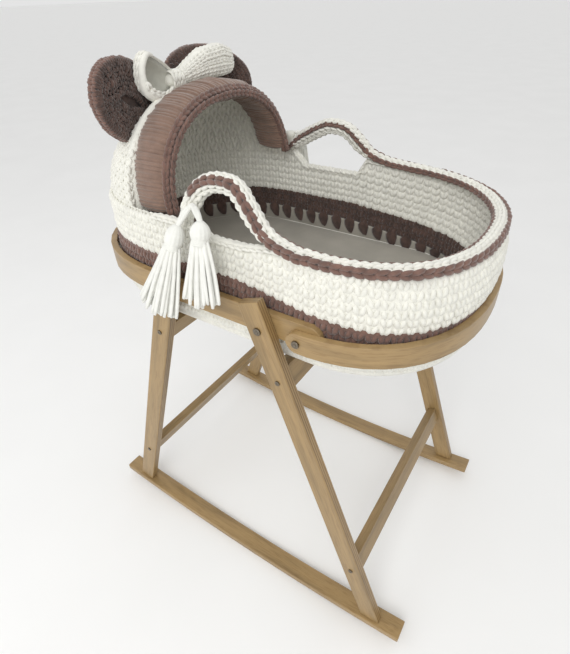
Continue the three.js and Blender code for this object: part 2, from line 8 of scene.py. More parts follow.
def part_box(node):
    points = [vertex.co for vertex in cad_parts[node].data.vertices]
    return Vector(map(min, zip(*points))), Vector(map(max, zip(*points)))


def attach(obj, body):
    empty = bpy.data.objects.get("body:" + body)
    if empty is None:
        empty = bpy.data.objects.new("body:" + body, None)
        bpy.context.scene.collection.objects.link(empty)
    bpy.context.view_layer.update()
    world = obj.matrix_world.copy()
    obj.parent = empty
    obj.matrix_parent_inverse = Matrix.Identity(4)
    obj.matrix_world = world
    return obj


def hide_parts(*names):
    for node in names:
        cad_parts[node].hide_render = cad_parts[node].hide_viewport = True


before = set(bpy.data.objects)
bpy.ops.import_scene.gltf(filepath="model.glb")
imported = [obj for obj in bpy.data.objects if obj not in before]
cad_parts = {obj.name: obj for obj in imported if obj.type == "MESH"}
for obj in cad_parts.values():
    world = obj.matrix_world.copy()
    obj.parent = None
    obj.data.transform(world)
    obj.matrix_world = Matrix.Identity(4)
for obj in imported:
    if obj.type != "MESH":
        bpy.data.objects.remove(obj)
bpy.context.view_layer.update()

rng = np.random.default_rng(7)

# ---------------------------------------------------------------- sizes, in metres
# the plan is straight between these two and has a cap at each end, with its own reach and power
PLAN_HEAD_X = -0.110
PLAN_FOOT_X = 0.150
BASKET = {"half": 0.217, "head": 0.246, "foot": 0.208, "head_power": 2.5, "foot_power": 2.3}
HOOD = {"half": 0.212, "head": 0.241, "power": 2.5, "rise": 2.0, "round": 2.1, "height": 0.168}
ROLL = {"half": 0.196, "head": 0.233, "power": 2.5, "rise": 2.2, "round": 2.3, "height": 0.172}

BASKET_LOW, BASKET_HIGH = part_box("basket_shell")
BOTTOM_Z = BASKET_LOW.z
WALL_TOP_Z = BASKET_HIGH.z
WALL = 0.012
HOOD_FRONT_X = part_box("hood_roll")[1].x
HOOD_LEAN = 0.08
ROLL_WIDTH = 0.070
ROLL_DEPTH = 0.028

STITCH = 0.0172
ROW = 0.0135
YARN = 0.0046
WALL_STITCHES = 112
# points round a ring of the wall's filling and of the floor, and where that filling starts
WALL_RING = 360
FLOOR_RING = 240
WALL_FOOT_Z = BOTTOM_Z + 0.006
UNDERSIDE_INSETS = (0.022, 0.205)
# the rows run level to DIP_START and drop by DIP towards the foot end
DIP = 0.031
DIP_START = 0.03
DIP_END = 0.30
OUTER_BAND = (0.703, 0.7475)
INNER_BAND = (0.684, 0.7225)

RIM_Z = 0.818
RIM_OFFSET = -0.009
# half width and half height of the rim, and of a handle
RIM_HALF = (0.0105, 0.0060)
HANDLE_HALF = (0.0095, 0.0115)
BARE_FOOT_Z = 0.862
# start, apex and end lie along the basket; climb, knee and drop shape the curve between them;
# dip and ramp shape the cut in the wall under the handle
HANDLES = {
    "near": {
        "side": -1, "start": -0.052, "apex": 0.008, "end": 0.150, "top": 0.884,
        "climb": 2.3, "knee": 0.39, "drop": 3.2, "dip": 0.012, "ramp": 0.060,
    },
    "far": {
        "side": 1, "start": -0.138, "apex": -0.030, "end": 0.110, "top": 0.879,
        "climb": 1.15, "knee": 0.47, "drop": 4.4, "dip": 0.030, "ramp": 0.018,
    },
}
# the soft rim sinks a little towards the foot end, and the wall bulges under it
SAG = 0.012
SAG_START = 0.06
SAG_LENGTH = 0.27
BULGE = 0.010
BULGE_START = 0.06
BULGE_LENGTH = 0.20
BULGE_LOW_Z = 0.690
HANDLE_LEAN = 0.020

# ---------------------------------------------------------------- camera and light
CAMERA_AT = (0.43752, -0.67520, 1.09989)
CAMERA_YAW = math.radians(34.49)
CAMERA_PITCH = math.radians(36.32)
CAMERA_ROLL = math.radians(-2.14)
CAMERA_LENS = 25.10
WORLD_STRENGTH = 0.78
# place, target, size and power
LIGHTS = {
    "key": ((0.7, -2.1, 2.4), (-0.1, 0, 0.75), 1.6, 30),
    "fill": ((-1.6, -2.2, 1.9), (0, 0, 0.6), 2.2, 9),
}


def make_camera():
    data = bpy.data.cameras.new("camera")
    data.lens = CAMERA_LENS
    data.sensor_width = 36
    data.clip_start = 0.05
    camera = bpy.data.objects.new("camera", data)
    level = math.cos(CAMERA_PITCH)
    yaw_x, yaw_y = -math.sin(CAMERA_YAW), math.cos(CAMERA_YAW)
    ahead = Vector((yaw_x * level, yaw_y * level, -math.sin(CAMERA_PITCH)))
    right = ahead.cross(Vector((0, 0, 1))).normalized()
    up = right.cross(ahead)
    turn, across = math.cos(CAMERA_ROLL), math.sin(CAMERA_ROLL)
    axes = (turn * right + across * up, turn * up - across * right, -ahead)
    camera.matrix_world = Matrix.Translation(CAMERA_AT) @ Matrix(axes).transposed().to_4x4()
    bpy.context.scene.collection.objects.link(camera)
    bpy.context.scene.camera = camera


def area_light(name, place, target, size, power):
    data = bpy.data.lights.new(name, "AREA")
    data.size = size
    data.energy = power
    lamp = bpy.data.objects.new(name, data)
    lamp.location = place
    aim = Vector(target) - Vector(place)
    lamp.rotation_euler = aim.to_track_quat("-Z", "Y").to_euler()
    bpy.context.scene.collection.objects.link(lamp)


def make_light():
    world = bpy.data.worlds.new("studio")
    bpy.context.scene.world = world
    world.use_nodes = True
    background = world.node_tree.nodes["Background"]
    background.inputs["Color"].default_value = (1.0, 1.0, 1.0, 1)
    background.inputs["Strength"].default_value = WORLD_STRENGTH
    for name, (place, target, size, power) in LIGHTS.items():
        area_light(name, place, target, size, power)
    bpy.context.scene.view_settings.view_transform = "Standard"


# ---------------------------------------------------------------- materials
def new_material(name, colour, roughness):
    made = bpy.data.materials.new(name)
    made.use_nodes = True
    shader = made.node_tree.nodes["Principled BSDF"]
    shader.inputs["Base Color"].default_value = (*colour, 1)
    shader.inputs["Roughness"].default_value = roughness
    made.diffuse_color = (*colour, 1)
    return made, shader


def add_node(made, kind, **values):
    node = made.node_tree.nodes.new(kind)
    for key, value in values.items():
        if key in node.inputs:
            node.inputs[key].default_value = value
        else:
            setattr(node, key, value)
    return node


def link(made, source, output, target, socket):
    made.node_tree.links.new(source.outputs[output], target.inputs[socket])


def coordinates(made, stretch=(1, 1, 1), turn=(0, 0, 0)):
    place = add_node(made, "ShaderNodeTexCoord")
    mapping = add_node(made, "ShaderNodeMapping", vector_type="TEXTURE")
    mapping.inputs["Scale"].default_value = stretch
    mapping.inputs["Rotation"].default_value = turn
    link(made, place, "Object", mapping, "Vector")
    return mapping


def noise_of(made, mapping, scale, detail=3.0):
    noise = add_node(made, "ShaderNodeTexNoise", Scale=scale, Detail=detail)
    link(made, mapping, "Vector", noise, "Vector")
    return noise


def ramp_of(made, source, stops):
    ramp = add_node(made, "ShaderNodeValToRGB")
    elements = ramp.color_ramp.elements
    while len(elements) < len(stops):
        elements.new(0.5)
    for element, (position, colour) in zip(elements, stops):
        element.position = position
        element.color = (*colour, 1)
    link(made, source, "Fac", ramp, "Fac")
    return ramp


def bump_of(made, source, shader, strength, distance, below=None):
    bump = add_node(made, "ShaderNodeBump", Strength=strength, Distance=distance)
    link(made, source, "Fac", bump, "Height")
    if below is not None:
        link(made, below, "Normal", bump, "Normal")
    link(made, bump, "Normal", shader, "Normal")
    return bump


# colour sockets of a mix node, which have the same names as its number sockets
MIX_FIRST, MIX_SECOND, MIX_RESULT = 6, 7, 2


def multiply(made, first, output, second, factor):
    mix = add_node(made, "ShaderNodeMix", data_type="RGBA", blend_type="MULTIPLY")
    mix.inputs["Factor"].default_value = factor
    link(made, first, output, mix, MIX_FIRST)
    link(made, second, "Color", mix, MIX_SECOND)
    return mix


def tint(colour, factor):
    return tuple(min(channel * factor, 1.0) for channel in colour)


def yarn_material(name, colour, contrast=0.16, sheen=0.35):
    made, shader = new_material(name, colour, 0.88)
    shader.inputs["Sheen Weight"].default_value = sheen
    shader.inputs["Sheen Roughness"].default_value = 0.55
    mapping = coordinates(made)
    patches = noise_of(made, mapping, 75, 4)
    stops = [(0.32, tint(colour, 1 - contrast)), (0.68, tint(colour, 1 + contrast * 0.6))]
    ramp = ramp_of(made, patches, stops)
    link(made, ramp, "Color", shader, "Base Color")
    fibres = noise_of(made, mapping, 900, 2)
    fine = bump_of(made, fibres, shader, 0.5, 0.0006)
    twists = noise_of(made, mapping, 260, 2)
    bump_of(made, twists, shader, 0.35, 0.0010, below=fine)
    return made


def wood_material(name, colour, stretch, turn=(0, 0, 0), plies=False):
    made, shader = new_material(name, colour, 0.42)
    shader.inputs["Coat Weight"].default_value = 0.18
    shader.inputs["Coat Roughness"].default_value = 0.3
    mapping = coordinates(made, stretch, turn)
    figure = noise_of(made, mapping, 55, 6)
    figure.inputs["Distortion"].default_value = 0.6
    stops = [(0.30, tint(colour, 0.72)), (0.5, colour), (0.72, tint(colour, 1.16))]
    ramp = ramp_of(made, figure, stops)
    pores = noise_of(made, mapping, 420, 2)
    darker = ramp_of(made, pores, [(0.36, (0.70, 0.64, 0.58)), (0.50, (1, 1, 1))])
    mix = multiply(made, ramp, "Color", darker, 0.55)
    link(made, mix, MIX_RESULT, shader, "Base Color")
    bump_of(made, pores, shader, 0.25, 0.0004)
    if plies:
        narrow, lines = ply_layers(made)
        edged = multiply(made, mix, MIX_RESULT, lines, 1.0)
        link(made, narrow, 0, edged, "Factor")
        link(made, edged, MIX_RESULT, shader, "Base Color")
    return made


def ply_layers(made):
    """A mask of a leg's narrow faces, and the dark glue lines that cross them."""
    place = add_node(made, "ShaderNodeTexCoord")
    lines = add_node(made, "ShaderNodeTexWave", Scale=68, Distortion=0.3, bands_direction="Y")
    link(made, place, "Object", lines, "Vector")
    ramp = ramp_of(made, lines, [(0.12, (0.50, 0.42, 0.34)), (0.45, (1, 1, 1))])
    facing = add_node(made, "ShaderNodeSeparateXYZ")
    link(made, place, "Normal", facing, "Vector")
    size = add_node(made, "ShaderNodeMath", operation="ABSOLUTE")
    link(made, facing, "Y", size, 0)
    narrow = add_node(made, "ShaderNodeMath", operation="LESS_THAN")
    narrow.inputs[1].default_value = 0.5
    link(made, size, 0, narrow, 0)
    return narrow, ramp


def metal_material(name, colour):
    made, shader = new_material(name, colour, 0.38)
    shader.inputs["Metallic"].default_value = 1.0
    mapping = coordinates(made)
    brushed = noise_of(made, mapping, 1600, 2)
    ramp = ramp_of(made, brushed, [(0.35, tint(colour, 0.7)), (0.65, tint(colour, 1.2))])
    link(made, ramp, "Color", shader, "Base Color")
    bump_of(made, brushed, shader, 0.2, 0.0002)
    return made


def linen_material(name, colour):
    made, shader = new_material(name, colour, 0.9)
    shader.inputs["Sheen Weight"].default_value = 0.2
    mapping = coordinates(made)
    warp = add_node(made, "ShaderNodeTexWave", Scale=260, Distortion=1.4, bands_direction="X")
    weft = add_node(made, "ShaderNodeTexWave", Scale=260, Distortion=1.4, bands_direction="Y")
    for wave in (warp, weft):
        link(made, mapping, "Vector", wave, "Vector")
    lower = bump_of(made, warp, shader, 0.25, 0.0004)
    bump_of(made, weft, shader, 0.25, 0.0004, below=lower)
    patches = noise_of(made, mapping, 14, 4)
    ramp = ramp_of(made, patches, [(0.35, tint(colour, 0.90)), (0.65, tint(colour, 1.08))])
    link(made, ramp, "Color", shader, "Base Color")
    return made


LEAN = math.radians(19.6)
CREAM = (0.80, 0.79, 0.72)
BROWN = (0.175, 0.095, 0.072)
DARK_BROWN = (0.078, 0.042, 0.031)
WRAP_BROWN = (0.215, 0.130, 0.092)
WOOD = (0.335, 0.222, 0.096)

MATERIALS = {
    "cream": yarn_material("yarn_cream", CREAM, 0.08),
    # a darker copy of the cream: painted shade, laid inside the near bow loop
    "shade": yarn_material("yarn_cream_painted_shade", (0.52, 0.515, 0.455), 0.06),
    "tassel": yarn_material("yarn_tassel", (0.82, 0.82, 0.77), 0.06),
    "brown": yarn_material("yarn_brown", BROWN, 0.30),
    "dark": yarn_material("yarn_dark_brown", DARK_BROWN, 0.45),
    "wrap": yarn_material("yarn_wrapped", WRAP_BROWN, 0.14, 0.5),
    # grey-beige linen: its grey tone is painted shade on a cream cover
    "linen": linen_material("linen_cover_painted_shade", (0.38, 0.355, 0.305)),
    "wood_x": wood_material("wood_along_x", WOOD, (14, 1, 1)),
    "wood_y": wood_material("wood_along_y", tint(WOOD, 0.86), (1, 14, 1)),
    "wood_head": wood_material("wood_head_leg", WOOD, (1, 1, 14), (0, LEAN, 0), True),
    "wood_foot": wood_material("wood_foot_leg", WOOD, (1, 1, 14), (0, -LEAN, 0), True),
    "wood_hoop": wood_material("wood_hoop", tint(WOOD, 1.02), (10, 10, 1)),
    "plywood": wood_material("plywood", (0.40, 0.29, 0.15), (8, 1, 1)),
    "steel": metal_material("steel_head", (0.22, 0.19, 0.15)),
}


def add_yarn(name, parts, material, replaces=(), body="basket"):
    """Makes one smooth piece from its parts, and puts it on its body."""
    points, faces = join_parts(parts)
    mesh = bpy.data.meshes.new(name)
    mesh.vertices.add(len(points))
    mesh.vertices.foreach_set("co", np.asarray(points, np.float32).ravel())
    sizes = np.concatenate([np.full(len(group), group.shape[1]) for group in faces if len(group)])
    loops = np.concatenate([group.ravel() for group in faces if len(group)])
    starts = np.concatenate([[0], np.cumsum(sizes)[:-1]])
    mesh.loops.add(len(loops))
    mesh.loops.foreach_set("vertex_index", loops.astype(np.int32))
    mesh.polygons.add(len(sizes))
    mesh.polygons.foreach_set("loop_start", starts.astype(np.int32))
    mesh.polygons.foreach_set("loop_total", sizes.astype(np.int32))
    mesh.polygons.foreach_set("use_smooth", np.ones(len(sizes), bool))
    mesh.update(calc_edges=True)
    mesh.validate()
    mesh.materials.append(MATERIALS[material])
    piece = bpy.data.objects.new(name, mesh)
    bpy.context.scene.collection.objects.link(piece)
    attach(piece, body)
    if replaces:
        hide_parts(*replaces)
    return piece


def join_parts(parts):
    """Joins (points, quads, triangles) parts into one set of arrays."""
    points, quads, triangles, base = [], [], [], 0
    for part_points, part_quads, part_triangles in parts:
        points.append(part_points)
        quads.append(part_quads + base)
        triangles.append(part_triangles + base)
        base += len(part_points)
    return np.concatenate(points), [np.concatenate(quads), np.concatenate(triangles)]


def unit(vectors):
    return vectors / np.maximum(np.linalg.norm(vectors, axis=-1, keepdims=True), 1e-12)


def full_turn(count):
    """Evenly spaced angles round a circle."""
    return 2 * np.pi * np.arange(count) / count


def squared(wave, power):
    """A sine or cosine drawn towards a square wave."""
    return np.sign(wave) * np.abs(wave) ** power


def tube_faces(rings, sides):
    """Quads and end fans of a tube whose two end points follow its rings."""
    ring, side = np.meshgrid(np.arange(rings - 1), np.arange(sides), indexing="ij")
    after = (side + 1) % sides
    low, high = ring * sides, (ring + 1) * sides
    quads = np.stack([low + side, low + after, high + after, high + side], -1).reshape(-1, 4)
    near, far = rings * sides, rings * sides + 1
    step = np.arange(sides)
    following = (step + 1) % sides
    last = (rings - 1) * sides
    first_fan = np.stack([np.full(sides, near), following, step], -1)
    last_fan = np.stack([np.full(sides, far), last + step, last + following], -1)
    return quads, np.concatenate([first_fan, last_fan])


def tube(path, radii, sides=6, flat=1.0, out=(0, 0, 1)):
    """A closed tube along a path; flat squeezes it along the out direction."""
    path = np.asarray(path, float)
    radii = np.broadcast_to(np.asarray(radii, float), (len(path),))
    along = unit(np.gradient(path, axis=0))
    across = unit(np.cross(along, np.asarray(out, float)))
    normal = unit(np.cross(across, along))
    angles = full_turn(sides)
    circle = np.cos(angles)[None, :, None] * across[:, None, :]
    circle = circle + flat * np.sin(angles)[None, :, None] * normal[:, None, :]
    rings = path[:, None, :] + radii[:, None, None] * circle
    first = path[0] - along[0] * radii[0] * 0.5
    last = path[-1] + along[-1] * radii[-1] * 0.5
    quads, fans = tube_faces(len(path), sides)
    return np.concatenate([rings.reshape(-1, 3), [first, last]]), quads, fans


def loft(rings, looped=False):
    """Joins closed rings of points; open ends are closed with a fan."""
    count, sides = rings.shape[:2]
    points = rings.reshape(-1, 3)
    if looped:
        quads = tube_faces(count + 1, sides)[0] % len(points)
        return points, quads, np.zeros((0, 3), int)
    hubs = np.stack([rings[0].mean(0), rings[-1].mean(0)])
    quads, fans = tube_faces(count, sides)
    return np.concatenate([points, hubs]), quads, fans


def slab_of(outer, inner):
    """A closed body between two matching grids of points."""
    rows, columns = outer.shape[:2]
    back = rows * columns
    index = np.arange(back).reshape(rows, columns)
    corners = (index[:-1, :-1], index[:-1, 1:], index[1:, 1:], index[1:, :-1])
    face = np.stack(corners, -1).reshape(-1, 4)
    other = face[:, ::-1] + back
    border = np.concatenate([index[0, :-1], index[:-1, -1], index[-1, :0:-1], index[:0:-1, 0]])
    following = np.roll(border, -1)
    side = np.stack([following, border, border + back, following + back], -1)
    points = np.concatenate([outer.reshape(-1, 3), inner.reshape(-1, 3)])
    return points, np.concatenate([face, other, side]), np.zeros((0, 3), int)


def travel_along(path):
    """Distance from the start at each point of a path."""
    return np.concatenate([[0], np.cumsum(np.linalg.norm(np.diff(path, axis=0), axis=1))])


def resample(path, count, closed=False):
    """Evenly spaced points and tangents along a path."""
    path = np.asarray(path, float)
    if closed:
        path = np.concatenate([path, path[:1]])
    travel = travel_along(path)
    length = travel[-1]
    targets = (np.arange(count) + 0.5) / count * length

    def at(distance):
        wrapped = distance % length if closed else np.clip(distance, 0, length)
        return np.stack([np.interp(wrapped, travel, path[:, axis]) for axis in range(3)], -1)

    reach = length / count * 0.3
    return at(targets), unit(at(targets + reach) - at(targets - reach))


def path_length(path):
    return float(np.linalg.norm(np.diff(np.asarray(path, float), axis=0), axis=1).sum())


# ---------------------------------------------------------------- crochet stitches
# one leg of a V: across, along, out and thickness, as shares of the stitch
LEG = np.array([
    (0.03, -0.66, -0.35, 0.40),
    (0.13, -0.38, 0.15, 0.86),
    (0.24, -0.02, 0.42, 1.00),
    (0.31, 0.32, 0.15, 0.80),
    (0.29, 0.58, -0.45, 0.40),
])
LEG_SIDES = 6
UP = np.array([0.0, 0.0, 1.0])


def stitch_shape(width, height, yarn):
    """Both legs of one V in its own axes: across, along and out."""
    legs = []
    for side in (-1, 1):
        path = LEG[:, :3] * (side * width, height, yarn)
        legs.append(tube(path, LEG[:, 3] * yarn, LEG_SIDES, 0.80))
    points, (quads, fans) = join_parts(legs)
    return points, quads, fans


def stitches(places, across, along, out, width=STITCH, height=ROW, yarn=YARN, wobble=0.05):
    """Copies of the V at every place, each turned and sized a little differently."""
    shape, quads, fans = stitch_shape(width, height, yarn)
    count = len(places)
    turn = rng.normal(0, wobble, count)[:, None]
    size = 1 + rng.normal(0, wobble, (count, 1, 1))
    lift = rng.normal(0, wobble * yarn, count)[:, None]
    turned_across = across * np.cos(turn) + along * np.sin(turn)
    turned_along = along * np.cos(turn) - across * np.sin(turn)
    local = shape[None] * size
    points = (places + out * lift)[:, None, :] + local[..., :1] * turned_across[:, None, :]
    points = points + local[..., 1:2] * turned_along[:, None, :] + local[..., 2:] * out[:, None, :]
    base = (np.arange(count) * len(shape))[:, None, None]
    all_quads = (quads[None] + base).reshape(-1, 4)
    all_fans = (fans[None] + base).reshape(-1, 3)
    return points.reshape(-1, 3), all_quads, all_fans


# ---------------------------------------------------------------- plan outline and wall
def cap_radius(angle, reach, half, power):
    along = np.abs(np.cos(angle)) / reach
    across = np.abs(np.sin(angle)) / half
    return (along ** power + across ** power) ** (-1 / power)


def plan_outline(offset, z, dense=90):
    """Closed outline, counter-clockwise from the middle of the foot end."""
    half = BASKET["half"] + offset
    quarter = np.pi / 2

    def cap(start, stop, end_x, reach, power):
        angle = np.linspace(start, stop, dense, endpoint=False)
        radius = cap_radius(angle, reach, half, power)
        return np.stack([end_x + radius * np.cos(angle), radius * np.sin(angle)], -1)

    foot, head = BASKET["foot"] + offset, BASKET["head"] + offset
    flat = np.concatenate([
        cap(0, quarter, PLAN_FOOT_X, foot, BASKET["foot_power"]),
        [[PLAN_FOOT_X, half]],
        cap(quarter, 3 * quarter, PLAN_HEAD_X, head, BASKET["head_power"]),
        [[PLAN_HEAD_X, -half]],
        cap(3 * quarter, 4 * quarter, PLAN_FOOT_X, foot, BASKET["foot_power"]),
    ])
    return np.column_stack([flat, np.full(len(flat), z)])


def plan_ring(offset, z, count):
    """Evenly spaced points round the plan outline."""
    return resample(plan_outline(offset, z), count, closed=True)[0]


def dip_at(x):
    return DIP * np.clip((x - DIP_START) / (DIP_END - DIP_START), 0, 1)


def sag_at(x):
    return SAG * np.clip((x - SAG_START) / SAG_LENGTH, 0, 1)


def bulge_at(points):
    """How far the soft wall swells outwards at mid height round the foot end."""
    height = np.clip((points[:, 2] - BULGE_LOW_Z) / (WALL_TOP_Z - BULGE_LOW_Z), 0, 1)
    along = np.clip((points[:, 0] - BULGE_START) / BULGE_LENGTH, 0, 1)
    return BULGE * along * np.sin(np.pi * height)


def swell(points):
    """Moves points of the wall outwards by its bulge."""
    centre = np.clip(points[:, :2], (PLAN_HEAD_X, 0), (PLAN_FOOT_X, 0))
    out = unit(points[:, :2] - centre)
    moved = points.copy()
    moved[:, :2] += out * bulge_at(points)[:, None]
    return moved


def mouth_dip(points):
    """How far the wall's top edge is cut down under each handle."""
    total = np.zeros(len(points))
    for spec in HANDLES.values():
        on_side = points[:, 1] * spec["side"] > 0.1
        knee_x = spec["apex"] + (spec["end"] - spec["apex"]) * spec["knee"]
        climb = np.clip((points[:, 0] - spec["start"] - 0.010) / 0.030, 0, 1)
        fall = np.clip((knee_x + spec["ramp"] * 0.8 - points[:, 0]) / spec["ramp"], 0, 1)
        total += on_side * spec["dip"] * climb * fall
    return total


def wall_top(points):
    return WALL_TOP_Z - mouth_dip(points) - sag_at(points[:, 0])


def wall_row(offset, z, facing, low, high, **sizes):
    """One round of stitches that follows the dip; facing is 1 outside and -1 inside."""
    outline = plan_outline(offset, z)
    places, across = resample(outline, WALL_STITCHES, closed=True)
    out = np.cross(across, UP) * facing
    along = np.broadcast_to(UP, out.shape)
    places[:, 2] -= dip_at(places[:, 0])
    kept = (places[:, 2] > low) & (places[:, 2] < high - WALL_TOP_Z + wall_top(places))
    places = swell(places)
    span = path_length(outline) / WALL_STITCHES
    return stitches(places[kept], across[kept], along[kept], out[kept], width=span, **sizes)


def row_levels(low, high):
    """Row heights from the border down to low and up to high, measured before the dip."""
    return low + ROW * (np.arange(int(round((high - low) / ROW))) + 0.5)


def build_outer_wall():
    low, high = BOTTOM_Z + 0.016, WALL_TOP_Z + 0.002
    border = OUTER_BAND[1]
    cream = [wall_row(-0.0030, z, 1, low, high) for z in row_levels(border, high + DIP)]
    # the rows under the band are finer, and two level ones turn the wall under
    below = row_levels(OUTER_BAND[0] - 6 * ROW, OUTER_BAND[0])
    cream += [wall_row(-0.0032, z, 1, low, high, yarn=0.0042) for z in below]
    cream.append(tucked_row(-0.0040, BOTTOM_Z + 0.0100, 20))
    cream.append(tucked_row(-0.0090, BOTTOM_Z + 0.0045, 58))
    brown = [wall_row(-0.0012, z, 1, low, high) for z in row_levels(*OUTER_BAND)]
    add_yarn("wall_outer_cream", cream, "cream", ["basket_shell"])
    add_yarn("wall_outer_band", brown, "brown")


def tucked_row(offset, z, degrees):
    """A level round that turns the wall under to the floor."""
    outline = plan_outline(offset, z)
    places, across = resample(outline, WALL_STITCHES, closed=True)
    out = np.cross(across, UP)
    tilt = math.radians(degrees)
    facing = out * math.cos(tilt) - UP * math.sin(tilt)
    along = UP * math.cos(tilt) + out * math.sin(tilt)
    span = path_length(outline) / WALL_STITCHES
    return stitches(places, across, along, facing, width=span, height=ROW * 0.8, yarn=0.0034)


def build_inner_wall():
    low, high = BOTTOM_Z + 0.020, WALL_TOP_Z + 0.003
    offset = -WALL + 0.0030
    above = row_levels(INNER_BAND[1], high + DIP)
    cream = [wall_row(offset, z, -1, low, high) for z in above]
    brown = [wall_row(offset, z, -1, low, high) for z in row_levels(*INNER_BAND)]
    add_yarn("wall_inner_cream", cream, "cream")
    add_yarn("wall_inner_brown", brown + spikes(), "dark")


def spikes():
    """Long brown stitches that reach down over the plain foot of the wall."""
    outline = plan_outline(-WALL - 0.0012, INNER_BAND[0])
    places, across = resample(outline, WALL_STITCHES // 2, closed=True)
    into = -np.cross(across, UP)
    places[:, 2] -= dip_at(places[:, 0])
    drops = np.array([0.006, -0.002, -0.010, -0.017, -0.023, -0.026])
    widths = np.array([0.0070, 0.0128, 0.0126, 0.0098, 0.0066, 0.0024])
    lean = np.array([0.0, 0.0004, 0.0014, 0.0032, 0.0056, 0.0080])
    parts = []
    deepest = -drops[-1]
    lowest = BOTTOM_Z + 0.011
    for place, side, out in zip(places, across, into):
        length = min(1 + rng.normal(0, 0.07), (place[2] - lowest) / deepest)
        if length < 0.25:
            continue
        slant = -side * (1 + rng.normal(0, 0.25))
        path = place + UP * (drops * length)[:, None] + slant * lean[:, None]
        path[0] -= out * 0.0030
        parts.append(tube(path, widths, 8, 0.24, out))
    return parts


def ring_slab(offsets, levels, dips=(0, 0)):
    """A closed ring between two offsets and heights; dips is 1 where a height follows the dip."""
    rings = []
    climb = np.linspace(0, 1, 9)
    steps = [(0, share) for share in climb] + [(1, share) for share in climb[::-1]]
    for side, share in steps:
        ring = plan_ring(offsets[side], levels[0], WALL_RING)
        low = levels[0] - dip_at(ring[:, 0]) * dips[0]
        high = levels[1] - dip_at(ring[:, 0]) * dips[1]
        high = np.minimum(high, wall_top(ring) + 0.002)
        low = np.maximum(low, WALL_FOOT_Z if dips[0] else levels[0])
        high = np.maximum(high, low + 0.001)
        ring[:, 2] = low + (high - low) * share
        rings.append(swell(ring))
    return loft(np.stack(rings), looped=True)


def build_wall_core():
    """The filling behind the stitches: wall, rounded lower edge, floor and bands."""
    edge = plan_ring(-0.0095, BOTTOM_Z + 0.0092, WALL_RING)
    edge = np.concatenate([edge, edge[:2]])
    cream = [
        ring_slab((-0.0012, -0.0108), (WALL_FOOT_Z, WALL_TOP_Z + 0.002)),
        tube(edge, 0.0090, 16),
        floor_slab(BOTTOM_Z + 0.0026, BOTTOM_Z + 0.0074),
    ]
    add_yarn("wall_core", cream, "cream")
    outer = (OUTER_BAND[0] - 0.002, OUTER_BAND[1] + 0.002)
    inner = (INNER_BAND[0], INNER_BAND[1] + 0.001)
    # the plain foot of the inner wall is a linen band whose grey tone is painted shade
    plain = (WALL_FOOT_Z + 0.002, INNER_BAND[0])
    for name, material, offsets, levels, dips in (
        ("wall_outer_band_core", "brown", (-0.0002, -0.0046), outer, (1, 1)),
        ("wall_inner_band_core", "dark", (-0.0116, -0.0080), inner, (1, 1)),
        ("wall_inner_foot", "linen", (-0.0118, -0.0080), plain, (0, 1)),
    ):
        add_yarn(name, [ring_slab(offsets, levels, dips)], material)


def floor_slab(low, high):
    return loft(np.stack([plan_ring(-0.014, z, FLOOR_RING) for z in (low, high)]))


def build_underside():
    rows = []
    for inset in np.arange(*UNDERSIDE_INSETS, ROW):
        outline = plan_outline(-inset, BOTTOM_Z + 0.0025)
        length = path_length(outline)
        count = max(int(length / STITCH), 8)
        places, across = resample(outline, count, closed=True)
        along = np.cross(across, UP)
        down = np.broadcast_to(-UP, places.shape)
        sizes = {"width": length / count, "yarn": YARN * 0.75}
        rows.append(stitches(places, across, along, down, **sizes))
    add_yarn("underside", rows, "cream")


# ---------------------------------------------------------------- hood dome
def dome_point(angle, level, inset):
    """A point of the dome: angle round the plan, level from 0 at the wall to 1 at the crown."""
    rise = np.sin(level * np.pi / 2)
    shrink = (1 - rise ** HOOD["rise"]) ** (1 / HOOD["round"])
    radius = cap_radius(angle, HOOD["head"] - inset, HOOD["half"] - inset, HOOD["power"]) * shrink
    x = PLAN_HEAD_X + radius * np.cos(angle)
    z = WALL_TOP_Z + rise * (HOOD["height"] - inset)
    return np.stack(np.broadcast_arrays(x, radius * np.sin(angle), z), -1)


def hood_back_x(z):
    """Where the dome meets the back of the roll."""
    return HOOD_FRONT_X - ROLL_WIDTH - HOOD_LEAN * (z - WALL_TOP_Z)


def dome_arc(level, inset, count, reach=0.0):
    """Angles from far to near that keep the dome behind the roll, or None above its top."""
    dense = np.linspace(np.pi / 2, 3 * np.pi / 2, 721)
    ring = dome_point(dense, level, inset)
    kept = dense[ring[:, 0] <= hood_back_x(ring[:, 2]) + reach]
    if len(kept) < 4:
        return None
    return np.linspace(kept[0], kept[-1], count)


def dome_row(level, inset, facing):
    arc = dome_arc(level, inset, 200, 0.006)
    if arc is None:
        return None
    ring = dome_point(arc, level, inset)
    count = int(path_length(ring) / STITCH)
    if count < 2:
        return None
    places, across = resample(ring, count)
    above = dome_point(arc, min(level + 0.01, 0.999), inset)
    upper = resample(above, count)[0]
    along = upper - places
    along = unit(along - across * (along * across).sum(-1, keepdims=True))
    out = unit(np.cross(along, across)) * facing
    width = path_length(ring) / count
    return stitches(places, across, along, out, width=width)


def dome_levels(inset):
    """Levels of the rows, one row height apart along the side of the dome."""
    dense = np.linspace(0, 0.985, 400)
    side = dome_point(np.full(400, np.pi * 0.8), dense, inset)
    travel = travel_along(side)
    return np.interp(np.arange(ROW / 2, travel[-1], ROW), travel, dense)


def build_dome():
    for name, inset, facing in (("hood_outer", 0.0030, 1), ("hood_inner", 0.0090, -1)):
        rows = [dome_row(level, inset, facing) for level in dome_levels(inset)]
        rows = [row for row in rows if row is not None]
        replaced = ["hood_shell"] if facing == 1 else []
        add_yarn(name, rows, "cream", replaced)
    levels = [z for z in np.linspace(0, 0.97, 60) if dome_arc(z, 0.008, 90) is not None]
    outer, inner = (
        np.stack([dome_point(dome_arc(level, inset, 90, 0.004), level, inset) for level in levels])
        for inset in (0.004, 0.008)
    )
    add_yarn("hood_core", [slab_of(outer, inner)], "cream")


